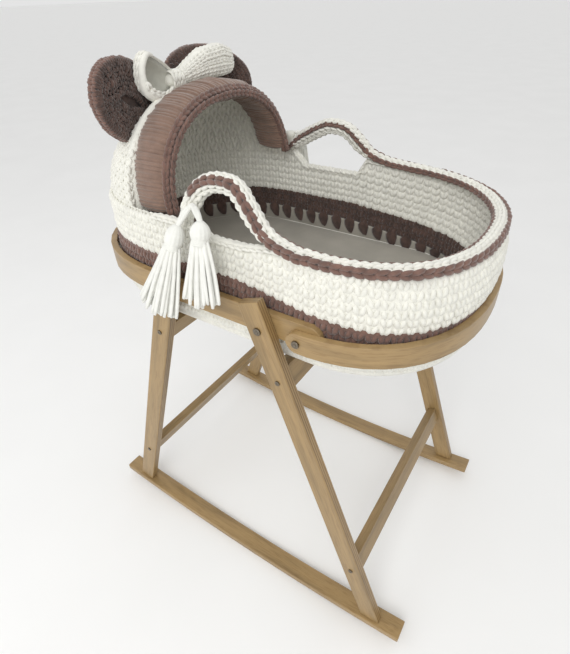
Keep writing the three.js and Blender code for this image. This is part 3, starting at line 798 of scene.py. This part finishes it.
def build_dome_lip():
    """The soft front edge of the dome, tucked behind the padded roll."""
    turns = even_turns(200, ROLL_WIDTH, 0.0)
    low = np.abs(np.sin(turns))
    path = arch_point(turns, np.full(200, ROLL_WIDTH + 0.001), 0.0095 - 0.0050 * low)
    add_yarn("dome_lip", [tube(path, 0.0060 + 0.0035 * low, 12)], "cream")


def inside_dome(points, grow):
    """Which points lie inside the dome, once it has grown by grow."""
    rise = (points[:, 2] - WALL_TOP_Z) / (HOOD["height"] + grow)
    capped = np.clip(rise, 0, 1)
    shrink = (1 - capped ** HOOD["rise"]) ** (1 / HOOD["round"])
    angle = np.arctan2(points[:, 1], points[:, 0] - PLAN_HEAD_X)
    reach = cap_radius(angle, HOOD["head"] + grow, HOOD["half"] + grow, HOOD["power"]) * shrink
    radius = np.hypot(points[:, 0] - PLAN_HEAD_X, points[:, 1])
    return (rise < 1) & (radius < reach)


# ---------------------------------------------------------------- hood roll and edging
ROLL_STRANDS = 86
STRAND_STEPS = 6
ROLL_LOOP = 40
ROLL_POWER = 2 / 2.7
EDGING_STEPS = 240
ROLL_FRONT_TAPER = 0.009
# the near end laps down over the wall and the far end stops short of it
ROLL_NEAR_TURN = -np.pi / 2 - 0.045
ROLL_FAR_TURN = np.pi / 2 - 0.085


def arch_point(turn, depth, inset):
    """A point of the roll: turn from near to far, depth behind its front, inset below its top."""
    behind = np.clip((PLAN_HEAD_X - HOOD_FRONT_X + depth) / ROLL["head"], 0, 0.99)
    inset = inset + ROLL_FRONT_TAPER * (1 - np.clip(depth / ROLL_WIDTH, 0, 1))
    half = ROLL["half"] * (1 - behind ** ROLL["power"]) ** (1 / ROLL["power"]) - inset
    height = ROLL["height"] * (1 - behind ** ROLL["round"]) ** (1 / ROLL["rise"]) - inset
    rise = np.cos(turn)
    y = np.sign(turn) * half * (1 - np.clip(rise, 0, 1) ** ROLL["rise"]) ** (1 / ROLL["round"])
    z = WALL_TOP_Z + height * rise
    x = HOOD_FRONT_X - HOOD_LEAN * (z - WALL_TOP_Z) - depth
    return np.stack(np.broadcast_arrays(x, y, z), -1)


def even_turns(count, depth=0.03, inset=0.0):
    """Turns of the arch spaced evenly along its length."""
    dense = np.linspace(ROLL_NEAR_TURN, ROLL_FAR_TURN, 900)
    path = arch_point(dense, depth, inset)
    travel = travel_along(path)
    return np.interp(np.linspace(0, travel[-1], count), travel, dense)


def rounded_end(station, stations, steps):
    """Draws the roll's section in over its last few stations."""
    from_end = min(station, stations - station) / steps
    return math.sqrt(max(1 - (1 - min(from_end, 1)) ** 2, 0.02))


def build_roll():
    """The padded roll at the hood's front, wrapped in strands that differ in height and slant."""
    stations = ROLL_STRANDS * STRAND_STEPS
    turns = even_turns(stations + 1)
    loop = full_turn(ROLL_LOOP)
    depth_unit = squared(np.cos(loop), ROLL_POWER)
    inset_unit = squared(np.sin(loop), ROLL_POWER)
    strand_lift = rng.normal(0, 0.0008, ROLL_STRANDS + 1)
    strand_height = np.clip(rng.normal(0.0026, 0.0008, ROLL_STRANDS + 1), 0.0012, 0.0040)
    slant = rng.normal(0, 1.6, ROLL_STRANDS + 1)
    rings = []
    for k in range(stations + 1):
        strand = k / STRAND_STEPS
        whole = min(int(strand), ROLL_STRANDS)
        shifted = (strand - whole) + slant[whole] * 0.08 * np.sin(loop + slant[whole])
        across = np.abs(2 * (shifted % 1.0) - 1)
        bow = np.sqrt(np.clip(1 - across ** 2, 0, 1))
        ridge = strand_height[whole] * bow - 0.0010 + strand_lift[whole]
        shape = rounded_end(k, stations, 16)
        depth = ROLL_WIDTH / 2 * (1 + depth_unit * shape) + ridge * np.cos(loop)
        inset = ROLL_DEPTH / 2 * (1 - inset_unit * shape) - ridge * np.sin(loop)
        rings.append(arch_point(np.full(ROLL_LOOP, turns[k]), depth, inset))
    add_yarn("hood_roll_wrapped", [loft(np.stack(rings))], "wrap", ["hood_roll"])


# width of a braid, step along it and radius of its yarn
PLAIN_BRAID = (0.0120, 0.0125, 0.0034)
EDGING_BRAID = (0.0115, 0.0120, 0.0034)
RIM_BRAID = (0.0125, 0.0130, 0.0036)
HANDLE_BRAID = (0.0125, 0.0130, 0.0034)
HANDLE_FOOT_BRAID = (0.0135, 0.0130, 0.0040)
BROWN_BRAID = (0.0150, 0.0148, 0.0043)
INNER_BROWN_BRAID = (0.0105, 0.0130, 0.0031)
PETAL_BRAID = (0.0105, 0.0105, 0.0030)
PETAL_LIP_BRAID = (0.0120, 0.0100, 0.0030)
BAND_BRAID = (0.0094, 0.0102, 0.0026)
KNOT_BRAID = (0.0100, 0.0105, 0.0030)


def braid(path, out, size=PLAIN_BRAID):
    """A chain of Vs along a path; out is the facing direction at each path point."""
    width, step, yarn = size
    path = np.asarray(path, float)
    count = max(int(path_length(path) / step), 2)
    places, along = resample(path, count)
    travel = np.linspace(0, 1, len(path))
    distance = travel_along(path)
    share = np.interp((np.arange(count) + 0.5) / count * distance[-1], distance, travel)
    facing = np.stack([np.interp(share, travel, out[:, axis]) for axis in range(3)], -1)
    facing = unit(facing - along * (facing * along).sum(-1, keepdims=True))
    across = np.cross(along, facing)
    sizes = {"width": width, "height": step * 1.12, "yarn": yarn, "wobble": 0.04}
    return stitches(places, across, along, facing, **sizes)


def build_edging():
    """Two braids over a cord, along the roll's front edge."""
    turns = even_turns(EDGING_STEPS, 0, 0.02)

    def line(depth, inset):
        return arch_point(turns, np.full(EDGING_STEPS, depth), np.full(EDGING_STEPS, inset))

    parts = []
    for depth, inset, lean in ((0.0015, 0.0075, 0.8), (-0.0040, 0.0165, -0.1)):
        path = line(depth, inset)
        away = unit(path - line(depth, inset + 0.01))
        out = unit(away * lean + np.array([1.0, 0, 0]))
        parts.append(braid(path, out, EDGING_BRAID))
        parts.append(tube(path - out * 0.0030, 0.0042, 8))
    parts.append(tube(line(0.0030, 0.0170), 0.0062, 10))
    add_yarn("hood_edging_braid", parts, "brown", ["hood_edging"])


# ---------------------------------------------------------------- rim and handles
def handle_path(spec, count=90):
    """Centre line of a handle: a rounded climb at the hood, a long slope to the foot."""
    rise = spec["top"] - RIM_Z
    turn = np.linspace(0, np.pi / 2, count)
    power = 2 / spec["climb"]
    climb_x = spec["apex"] - (spec["apex"] - spec["start"]) * np.cos(turn) ** power
    climb_z = RIM_Z + rise * np.sin(turn) ** power
    share = np.linspace(0, 1, count)[1:]
    fall_x = spec["apex"] + (spec["end"] - spec["apex"]) * share
    fall_z = RIM_Z + rise * (1 - share ** 6) / (1 + (share / spec["knee"]) ** spec["drop"])
    x = np.concatenate([climb_x, fall_x])
    z = np.concatenate([climb_z, fall_z])
    y = spec["side"] * (BASKET["half"] - WALL / 2 - HANDLE_LEAN * (z - RIM_Z) / rise)
    return np.stack([x, y, z], -1)


def rim_route():
    """One line from the near hood foot, over both handles and round the foot end."""
    near = handle_path(HANDLES["near"])
    far = handle_path(HANDLES["far"])[::-1]
    outline = plan_outline(RIM_OFFSET, RIM_Z)
    foot = outline[outline[:, 0] > PLAN_FOOT_X + 0.004]
    angle = np.arctan2(foot[:, 1], foot[:, 0] - PLAN_FOOT_X)
    foot = foot[np.argsort(angle)]
    route = np.concatenate([near, foot, far])
    route[:, 2] -= sag_at(route[:, 0])
    return resample(route, 700)


def rim_frames():
    """Places along the rim and handles, their directions, and 0 on the rim to 1 on a handle."""
    places, along = rim_route()
    on_side = places[:, 0] < PLAN_FOOT_X
    side = np.where(places[:, 1:2] < 0, [[1.0, 0, 0]], [[-1.0, 0, 0]])
    level = unit(along * (1, 1, 0) + 1e-9)
    out = np.cross(np.where(on_side[:, None], side, level), UP)
    up = unit(np.cross(out, along))
    lift = np.clip((places[:, 2] + sag_at(places[:, 0]) - RIM_Z - 0.004) / 0.026, 0, 1)
    return places, out, up, lift * lift * (3 - 2 * lift)


def build_rim():
    places, out, up, lift = rim_frames()
    half_out, half_up = (
        (flat * (1 - lift) + raised * lift)[:, None] for flat, raised in zip(RIM_HALF, HANDLE_HALF)
    )

    def line(flat_degrees, raised_degrees, grow=1.0):
        turn = np.radians(flat_degrees * (1 - lift) + raised_degrees * lift)[:, None]
        offset = out * half_out * np.cos(turn) + up * half_up * np.sin(turn)
        return places + offset * grow, unit(offset)

    angles = full_turn(14)
    section = np.cos(angles)[None, :, None] * (out * half_out)[:, None, :]
    section = section + np.sin(angles)[None, :, None] * (up * half_up)[:, None, :]
    white = [loft(places[:, None, :] + 0.86 * section)]
    for degrees in ((66, 84), (114, 116)):
        white.append(braid(*line(*degrees), RIM_BRAID))
    for side in (places[:, 1] < 0, places[:, 1] > 0):
        chosen = (lift > 0.25) & side
        for degrees in (-24, -66, -114, -156):
            path, facing = (values[chosen] for values in line(degrees, degrees))
            white.append(braid(path, facing, HANDLE_BRAID))
    # the brown line stops short of the near handle's foot, where a white one takes its place
    path, facing = line(8, 32, 1.03)
    bare = (path[:, 1] < 0) & (path[:, 0] < HANDLES["near"]["apex"]) & (path[:, 2] < BARE_FOOT_Z)
    brown = [braid(path[~bare], facing[~bare], BROWN_BRAID)]
    white.append(braid(path[bare], facing[bare], HANDLE_FOOT_BRAID))
    brown.append(braid(*line(166, 152, 1.02), INNER_BROWN_BRAID))
    replaced = ["rim", "handle_near", "handle_far"]
    add_yarn("rim_cream_braid", white, "cream", replaced)
    add_yarn("rim_brown_braid", brown, "brown")


def build_wall_edge():
    """The plain white edge of the wall that runs on under both handles to the hood."""
    parts = []
    for spec in HANDLES.values():
        y = spec["side"] * (BASKET["half"] - WALL / 2)
        x = np.linspace(HOOD_FRONT_X - 0.004, spec["end"] - 0.02, 90)
        path = np.stack(np.broadcast_arrays(x, y, WALL_TOP_Z), -1)
        path[:, 2] = wall_top(path) + 0.0030
        out = unit(np.cross([0, 1.0, 0], np.gradient(path, axis=0)))
        out = out * np.sign(out[:, 2:3])
        for shift in (-0.0045, 0.0045):
            parts.append(braid(path + (0, shift, 0), out))
        parts.append(tube(path, 0.0056, 10))
        # the handle's foot widens into the wall
        foot_z = np.linspace(WALL_TOP_Z - 0.014, RIM_Z + 0.034, 12)
        foot_x = spec["start"] - 0.004 + 0.20 * (foot_z - RIM_Z)
        foot = np.stack(np.broadcast_arrays(foot_x, y, foot_z), -1)
        foot[:, 1] -= spec["side"] * HANDLE_LEAN * 0.5 * np.clip(foot_z - RIM_Z, 0, 1) / 0.06
        for degrees in (-70, -20, 30):
            turn = math.radians(degrees)
            facing = np.array([math.sin(turn), spec["side"] * math.cos(turn), 0.0])
            parts.append(braid(foot + facing * 0.0085, np.broadcast_to(facing, foot.shape)))
        parts.append(tube(foot, 0.0088, 12))
    add_yarn("wall_edge", parts, "cream")


# ---------------------------------------------------------------- ears and bow
EARS = {
    "ear_near": {
        "centre": (-0.236, -0.130, 0.962), "half": 0.081, "tall": 0.061, "turn": 14, "tilt": 22,
    },
    "ear_far": {
        "centre": (-0.262, 0.106, 0.962), "half": 0.092, "tall": 0.058, "turn": -28, "tilt": 13,
    },
}


def ear_axes(spec):
    """The ear's centre, and its front, sideways and upward directions."""
    turn, tilt = math.radians(spec["turn"]), math.radians(spec["tilt"])
    front = np.array([math.cos(turn), math.sin(turn), 0.0])
    level = np.array([-math.sin(turn), math.cos(turn), 0.0])
    across = level * math.cos(tilt) - UP * math.sin(tilt)
    upward = level * math.sin(tilt) + UP * math.cos(tilt)
    return np.array(spec["centre"]), front, across, upward


def ear_ring(spec, inset, forward, count=180):
    centre, front, across, upward = ear_axes(spec)
    angle = full_turn(count)
    wide = np.cos(angle)[:, None] * across * (spec["half"] - inset)
    tall = np.sin(angle)[:, None] * upward * (spec["tall"] - inset)
    return centre + wide + tall + front * forward


def ear_round(spec, inset, forward, facing, step, yarn, tilt, wobble):
    """One round of stitches on an ear; tilt turns it from the face to the edge."""
    front = ear_axes(spec)[1]
    ring = ear_ring(spec, inset, forward)
    length = path_length(ring)
    count = max(int(length / step), 5)
    places, across = resample(ring, count, closed=True)
    outwards = unit(np.cross(across, front))
    facing_out = unit(front * facing * math.cos(tilt) + outwards * math.sin(tilt))
    along = unit(np.cross(facing_out, across))
    kept = ~inside_dome(places, -0.002)
    sizes = {"width": length / count, "height": step * 0.85, "yarn": yarn, "wobble": wobble}
    return stitches(places[kept], across[kept], along[kept], facing_out[kept], **sizes)


def soft_copy(node, name, material, shrink):
    """A rounded copy of a CAD solid, for the filling under the stitches."""
    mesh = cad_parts[node].data.copy()
    mesh.materials.clear()
    mesh.materials.append(MATERIALS[material])
    piece = bpy.data.objects.new(name, mesh)
    bpy.context.scene.collection.objects.link(piece)
    add_modifier(piece, "WELD", merge_threshold=0.00005)
    add_modifier(piece, "REMESH", mode="VOXEL", voxel_size=0.0035, use_smooth_shade=True)
    add_modifier(piece, "SMOOTH", factor=0.8, iterations=8)
    add_modifier(piece, "DISPLACE", strength=-shrink, mid_level=0.0)
    apply_modifiers(piece)
    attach(piece, "basket")
    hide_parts(node)


def build_ears():
    for node, spec in EARS.items():
        soft_copy(node, f"{node}_core", "dark", 0.0012)
        face, edge = [], []
        for side in (1, -1):
            face.append(ear_round(spec, 0.0032, 0.0066 * side, side, 0.0092, 0.0032, 0.7, 0.10))
            for inset in np.arange(0.0085, spec["tall"] - 0.006, 0.0068):
                face.append(ear_round(spec, inset, 0.0082 * side, side, 0.0084, 0.0028, 0.0, 0.20))
        for forward in (0.0026, -0.0040):
            edge.append(ear_round(spec, 0.0012, forward, 1, 0.0100, 0.0034, 1.571, 0.08))
        add_yarn(f"{node}_face", face, "dark")
        add_yarn(f"{node}_edge", edge, "brown")


# far loop of the bow: side position, lowest and highest point, and depth
BOW_BAND = np.array([
    (-0.022, 0.970, 0.994, 0.012),
    (0.004, 0.972, 1.007, 0.015),
    (0.042, 0.973, 1.024, 0.018),
    (0.092, 0.972, 1.029, 0.018),
    (0.118, 0.974, 1.019, 0.015),
    (0.130, 0.984, 1.004, 0.007),
])
# open near loop: its outline seen from the front
BOW_PETAL = np.array([
    (-0.036, 0.992), (-0.052, 1.008), (-0.070, 1.019), (-0.087, 1.027),
    (-0.098, 1.022), (-0.107, 1.008), (-0.109, 0.991), (-0.102, 0.972),
    (-0.078, 0.960), (-0.055, 0.962), (-0.040, 0.973),
])
BOW_X = -0.221
PETAL_STEPS = 96
# the petal's section, from its back to its rim and back: share of the outline, millimetres forward
PETAL_BOWL = (
    (0.02, -17), (0.25, -16), (0.5, -12), (0.72, -6), (0.88, 1), (0.97, 7), (1.0, 8),
    (0.97, 3), (0.88, -4), (0.7, -12), (0.45, -19), (0.2, -22), (0.02, -22.5),
)
# a sheet just inside the bowl, coloured darker as painted shade
PETAL_SHADE_SHEET = (
    (0.02, -16.0), (0.25, -15.0), (0.5, -10.8), (0.72, -4.6), (0.90, 3.0),
    (0.88, 0.0), (0.6, -13.0), (0.25, -18.0), (0.02, -19.0),
)
KNOT_Y, KNOT_Z = -0.033, 0.981


def closed_curve(points, count):
    """A smooth closed curve through a few points."""
    points = np.asarray(points, float)
    spread = np.linspace(0, len(points), count, endpoint=False)
    start = spread.astype(int)
    t = (spread - start)[:, None]
    before, here, after, later = (points[(start + k) % len(points)] for k in (-1, 0, 1, 2))
    bend = 2 * before - 5 * here + 4 * after - later
    turn = -before + 3 * here - 3 * after + later
    return 0.5 * (2 * here + (after - before) * t + bend * t ** 2 + turn * t ** 3)


def petal_ring(outline, share, forward):
    """The petal's outline, drawn in towards its middle and moved forward."""
    middle = outline.mean(0)
    flat = middle + (outline - middle) * share
    return np.column_stack([np.full(len(outline), BOW_X + forward), flat])


def petal_bowl(outline, section):
    rings = [petal_ring(outline, share, forward / 1000) for share, forward in section]
    return loft(np.stack(rings))


def build_bow_petal():
    """The near loop, seen into: a soft bowl with a thick rolled edge, and a darker sheet inside it
    as painted shade.
    """
    outline = closed_curve(BOW_PETAL, PETAL_STEPS)
    middle = outline.mean(0)
    parts = [petal_bowl(outline, PETAL_BOWL)]
    left = petal_ring(outline, 0.96, 0.008)[22:84]
    along = np.linspace(0, 1, len(left))
    radii = 0.0060 * np.sin(np.pi * (0.04 + 0.92 * along)) ** 0.4
    radii = radii + 0.0050 * np.exp(-(((along - 0.74) / 0.17) ** 2))
    parts.append(tube(left, radii, 12, 1.0, (1, 0, 0)))
    for share, forward, lean in ((1.01, 0.004, 0.5), (1.01, -0.0030, 0.1), (0.95, -0.0100, -0.4)):
        path = petal_ring(outline, share, forward)
        path = np.concatenate([path[26:], path[:4]])
        facing = unit(unit(path - (BOW_X + forward, *middle)) + np.array([lean, 0, 0]))
        parts.append(braid(path, facing, PETAL_BRAID))
    path = left + np.array([0.0075, 0, 0.004])
    facing = np.broadcast_to(unit(np.array([1.0, -0.25, 0.35])), path[34:].shape)
    parts.append(braid(path[34:], facing, PETAL_LIP_BRAID))
    add_yarn("bow_near_petal", parts, "cream", ["bow_near"])
    # a darker sheet over the bowl's inside: painted shade
    add_yarn("bow_near_painted_shade", [petal_bowl(outline, PETAL_SHADE_SHEET)], "shade")


def bow_band_point(y, turn, grow):
    """A point of the far loop's section, moved outwards by grow."""
    low = np.interp(y, BOW_BAND[:, 0], BOW_BAND[:, 1])
    high = np.interp(y, BOW_BAND[:, 0], BOW_BAND[:, 2])
    deep = np.interp(y, BOW_BAND[:, 0], BOW_BAND[:, 3]) + grow
    tall = (high - low) / 2 + grow
    power = 2 / 2.5
    x = BOW_X + deep * squared(np.cos(turn), power)
    z = (low + high) / 2 + tall * squared(np.sin(turn), power)
    return np.stack(np.broadcast_arrays(x, y, z), -1)


def build_bow_band():
    """The far loop: a flattened tube in rows of stitches, plain along its crest."""
    turns = full_turn(40)
    sides = np.linspace(BOW_BAND[0, 0], BOW_BAND[-1, 0], 46)
    sides = np.concatenate([sides[:1] - 0.004, sides, sides[-1:] + 0.001])
    scale = np.concatenate([[0.3], np.ones(46), [0.3]])
    rings = []
    for y, size in zip(sides, scale):
        ring = bow_band_point(np.full(40, y), turns, -0.0016)
        rings.append(ring.mean(0) + (ring - ring.mean(0)) * size)
    parts = [loft(np.stack(rings))]
    along = np.linspace(BOW_BAND[0, 0] + 0.004, BOW_BAND[-1, 0] - 0.002, 60)
    for degrees in (-80, -56, -36, -18, 0, 18, 36, 54, 125, 150, 180, 210, 235, 260):
        turn = math.radians(degrees)
        path = bow_band_point(along, turn, -0.0022)
        outer = bow_band_point(along, turn, 0.004)
        parts.append(braid(path, unit(outer - path), BAND_BRAID))
    add_yarn("bow_far_band", parts, "cream", ["bow_far"])


def build_bow_knot():
    """A short band pulled round the middle of the bow."""
    turn = np.linspace(0, 2 * np.pi, 37)

    def ring(angles, y, deep, tall):
        x = BOW_X + deep * np.cos(angles)
        return np.stack(np.broadcast_arrays(x, y, KNOT_Z + tall * np.sin(angles)), -1)

    parts = []
    for shift in (-0.009, 0.0, 0.009):
        y = KNOT_Y + shift
        loop = ring(turn, y, 0.0150, 0.0145)
        away = unit(loop - (BOW_X, y, KNOT_Z))
        parts.append(braid(loop, away, KNOT_BRAID))
    ball = []
    for polar in np.linspace(0.15, np.pi - 0.15, 13):
        wide, shift = math.sin(polar), 0.0165 * math.cos(polar)
        ball.append(ring(turn[:-1], KNOT_Y - shift, 0.0135 * wide, 0.0130 * wide))
    parts.append(loft(np.stack(ball)))
    add_yarn("bow_knot_band", parts, "cream", ["bow_knot"])


# ---------------------------------------------------------------- tassels
# top and bottom of each tassel, and how far its strands spread
TASSELS = {
    "near_head": ((-0.043, -0.243, 0.830), (-0.086, -0.281, 0.686), 0.040),
    "near_foot": ((0.004, -0.243, 0.846), (0.006, -0.270, 0.722), 0.036),
    "far_head": ((-0.180, 0.243, 0.838), (-0.218, 0.281, 0.686), 0.036),
    "far_foot": ((-0.130, 0.243, 0.846), (-0.148, 0.270, 0.722), 0.026),
}
TASSEL_STRANDS = 36
TASSEL_RADIUS = 0.0142
# share of a tassel's length that its head takes
TASSEL_NECK = 0.22
NECK_HALF = (0.0120, 0.0095)
STRAND_RADIUS = 0.0036
GOLDEN_TURN = 2.39996
# where the ties leave a handle's foot
TIE_Y, TIE_Z = 0.214, 0.852


def tassel_axes(top, bottom):
    top, bottom = np.array(top), np.array(bottom)
    down = unit(bottom - top)
    across = unit(np.cross(down, [0, 1.0, 0]))
    across = across * np.sign(across[0])
    return top, down, across, np.cross(down, across), float(np.linalg.norm(bottom - top))


def tassel_head(top, down, across, other, length):
    """A pleated knob of folded yarn, tied at its neck."""
    share = np.linspace(0, 1, 14)
    radius = TASSEL_RADIUS * np.sin(np.pi * (0.06 + 0.72 * share)) ** 0.7
    angle = full_turn(56)
    pleat = 1 + 0.055 * np.abs(np.cos(angle * 7))
    circle = np.cos(angle)[:, None] * across + np.sin(angle)[:, None] * other
    middle = top + down * (share[:, None] * length * TASSEL_NECK)
    rings = middle[:, None, :] + (radius[:, None] * pleat)[..., None] * circle[None]
    parts = [loft(rings)]
    for k in range(4):
        centre = top + down * (length * 0.195 + 0.0026 * k)
        turn = np.linspace(0, 2 * np.pi, 25)
        wrap = centre + 0.0112 * (np.cos(turn)[:, None] * across + np.sin(turn)[:, None] * other)
        parts.append(tube(wrap, 0.0018, 6, 1.0, down))
    return parts


def tassel_strand(start, end, sway, width):
    """One flat strand that leaves the neck straight and spreads towards its end."""
    share = np.linspace(0, 1, 11)[:, None]
    path = start + (end - start) * share + sway * np.sin(np.pi * share)
    radii = width * np.interp(share[:, 0], [0, 0.1, 0.9, 1], [0.75, 1, 1, 0.8])
    return tube(path, radii, 7, 0.68, (0, 1, 0))


def build_tassels():
    for name, (top, bottom, spread) in TASSELS.items():
        top, down, across, other, length = tassel_axes(top, bottom)
        parts = tassel_head(top, down, across, other, length)
        neck = top + down * length * TASSEL_NECK
        for k in range(TASSEL_STRANDS):
            turn = k * GOLDEN_TURN
            radius = math.sqrt((k + 0.5) / TASSEL_STRANDS)
            wide, deep = radius * math.cos(turn), radius * math.sin(turn)
            start = neck + across * wide * NECK_HALF[0] + other * deep * NECK_HALF[1]
            drop = length * (1 - TASSEL_NECK + rng.normal(0, 0.022)) - 0.010 * abs(wide)
            end = neck + down * drop + across * wide * spread + other * deep * 0.0125
            sway = across * rng.normal(0, 0.0012) + other * rng.normal(0, 0.0008)
            parts.append(tassel_strand(start, end, sway, STRAND_RADIUS))
        node = f"tassel_{name}"
        add_yarn(f"{node}_strands", parts, "tassel", [node], node)


def build_tassel_ties():
    """Short tight loops that tie each tassel head to its handle's foot."""
    parts = []
    for name, (top, _, _) in TASSELS.items():
        handle = HANDLES[name.split("_")[0]]
        end = np.array(top) - (0, 0, 0.002)
        start = np.array([handle["start"] + 0.016, handle["side"] * TIE_Y, TIE_Z])
        share = np.linspace(0, 1, 14)[:, None]
        for spread in (-0.0028, 0.0028):
            belly = np.array([spread, 0, 0.003]) * np.sin(np.pi * share)
            parts.append(tube(start + (end - start) * share + belly, STRAND_RADIUS, 8))
    add_yarn("tassel_ties", parts, "tassel")


# ---------------------------------------------------------------- mattress
MATTRESS_GAP = 0.0045
MATTRESS_VOXEL = 0.006
MATTRESS_SWELL = 0.0022
CLOTH_FRAMES = 20


def pad_rings(inset, low, high):
    """A slab in the shape of the basket's floor, with a rounded edge."""
    middle, half = (low + high) / 2, (high - low) / 2
    shapes = [(-inset - 0.06, low)]
    for turn in np.linspace(-np.pi / 2, np.pi / 2, 9):
        offset = -inset - 0.005 * (1 - math.cos(turn))
        shapes.append((offset, middle + half * math.sin(turn)))
    shapes.append((-inset - 0.06, high))
    return loft(np.stack([plan_ring(offset, z, FLOOR_RING) for offset, z in shapes]))


def build_mattress():
    """A thin pad: a shape slightly too small is inflated as cloth, then capped and smoothed."""
    low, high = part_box("mattress")
    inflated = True
    slack = 0.002 if inflated else 0.0
    parts = [pad_rings(WALL + MATTRESS_GAP + slack, low.z, high.z - slack)]
    # the linen's grey tone is painted shade on a cream cover
    piece = add_yarn("mattress_pad", parts, "linen", ["mattress"])
    if inflated:
        inflate(piece, MATTRESS_VOXEL, MATTRESS_SWELL)


def inflate(piece, voxel, cap):
    """Blows a piece up as cloth, moves no point by more than cap, and smooths the result."""
    add_modifier(piece, "REMESH", mode="VOXEL", voxel_size=voxel)
    apply_modifiers(piece)
    start = vertex_array(piece.data)
    cloth = add_modifier(piece, "CLOTH")
    cloth.settings.use_pressure = True
    cloth.settings.uniform_pressure_force = 4
    cloth.settings.effector_weights.gravity = 0
    for frame_number in range(1, CLOTH_FRAMES + 1):
        bpy.context.scene.frame_set(frame_number)
    apply_modifiers(piece)
    bpy.context.scene.frame_set(1)
    moved = vertex_array(piece.data) - start
    length = np.maximum(np.linalg.norm(moved, axis=1, keepdims=True), 1e-9)
    final = start + moved * np.minimum(1, cap / length)
    piece.data.vertices.foreach_set("co", final.astype(np.float32).ravel())
    add_modifier(piece, "SUBSURF", levels=1, render_levels=1)
    apply_modifiers(piece)


def vertex_array(mesh):
    flat = np.zeros(len(mesh.vertices) * 3, np.float32)
    mesh.vertices.foreach_get("co", flat)
    return flat.reshape(-1, 3).astype(float)


def add_modifier(piece, kind, **values):
    modifier = piece.modifiers.new(kind.lower(), kind)
    for key, value in values.items():
        setattr(modifier, key, value)
    return modifier


def apply_modifiers(piece):
    graph = bpy.context.evaluated_depsgraph_get()
    final = bpy.data.meshes.new_from_object(piece.evaluated_get(graph))
    piece.modifiers.clear()
    piece.data = final
    final.polygons.foreach_set("use_smooth", np.ones(len(final.polygons), bool))


# ---------------------------------------------------------------- stand
def dress_cad_node(node, material, bevel):
    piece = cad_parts[node]
    piece.data.materials.clear()
    piece.data.materials.append(MATERIALS[material])
    add_modifier(piece, "WELD", merge_threshold=0.00002)
    if bevel:
        edge = add_modifier(piece, "BEVEL", width=bevel, segments=3, limit_method="ANGLE")
        edge.angle_limit = math.radians(35)
    piece.data.polygons.foreach_set("use_smooth", np.ones(len(piece.data.polygons), bool))
    add_modifier(piece, "WEIGHTED_NORMAL", keep_sharp=True)


# material and bevel by the start of a node's name; bolts and screws are steel
STAND_LOOKS = {
    "rocker": ("wood_x", 0.0008),
    "leg_head": ("wood_head", 0.0008),
    "leg_foot": ("wood_foot", 0.0008),
    "rail": ("wood_y", 0.0008),
    "stretcher": ("wood_y", 0.0008),
    "hoop": ("wood_hoop", 0.0010),
    "base_board": ("plywood", 0),
}


def build_stand():
    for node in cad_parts:
        if "bolt" in node or "screw" in node:
            dress_cad_node(node, "steel", 0)
            continue
        for start, (material, bevel) in STAND_LOOKS.items():
            if node.startswith(start):
                dress_cad_node(node, material, bevel)


FLOOR_SIZE = 150.0


def build_floor():
    mesh = bpy.data.meshes.new("floor")
    corners = [(x * FLOOR_SIZE, y * FLOOR_SIZE, 0) for x, y in ((-1, -1), (1, -1), (1, 1), (-1, 1))]
    mesh.from_pydata(corners, [], [(0, 1, 2, 3)])
    made, shader = new_material("pale_floor", (0.93, 0.93, 0.92), 0.7)
    noise = noise_of(made, coordinates(made), 3, 2)
    ramp = ramp_of(made, noise, [(0.3, (0.92, 0.92, 0.91)), (0.7, (0.94, 0.94, 0.93))])
    link(made, ramp, "Color", shader, "Base Color")
    mesh.materials.append(made)
    floor = bpy.data.objects.new("floor", mesh)
    bpy.context.scene.collection.objects.link(floor)


make_camera()
make_light()
build_floor()
build_stand()
build_wall_core()
build_outer_wall()
build_inner_wall()
build_underside()
build_dome()
build_dome_lip()
build_roll()
build_edging()
build_rim()
build_wall_edge()
build_ears()
build_bow_petal()
build_bow_band()
build_bow_knot()
build_tassels()
build_tassel_ties()
build_mattress()
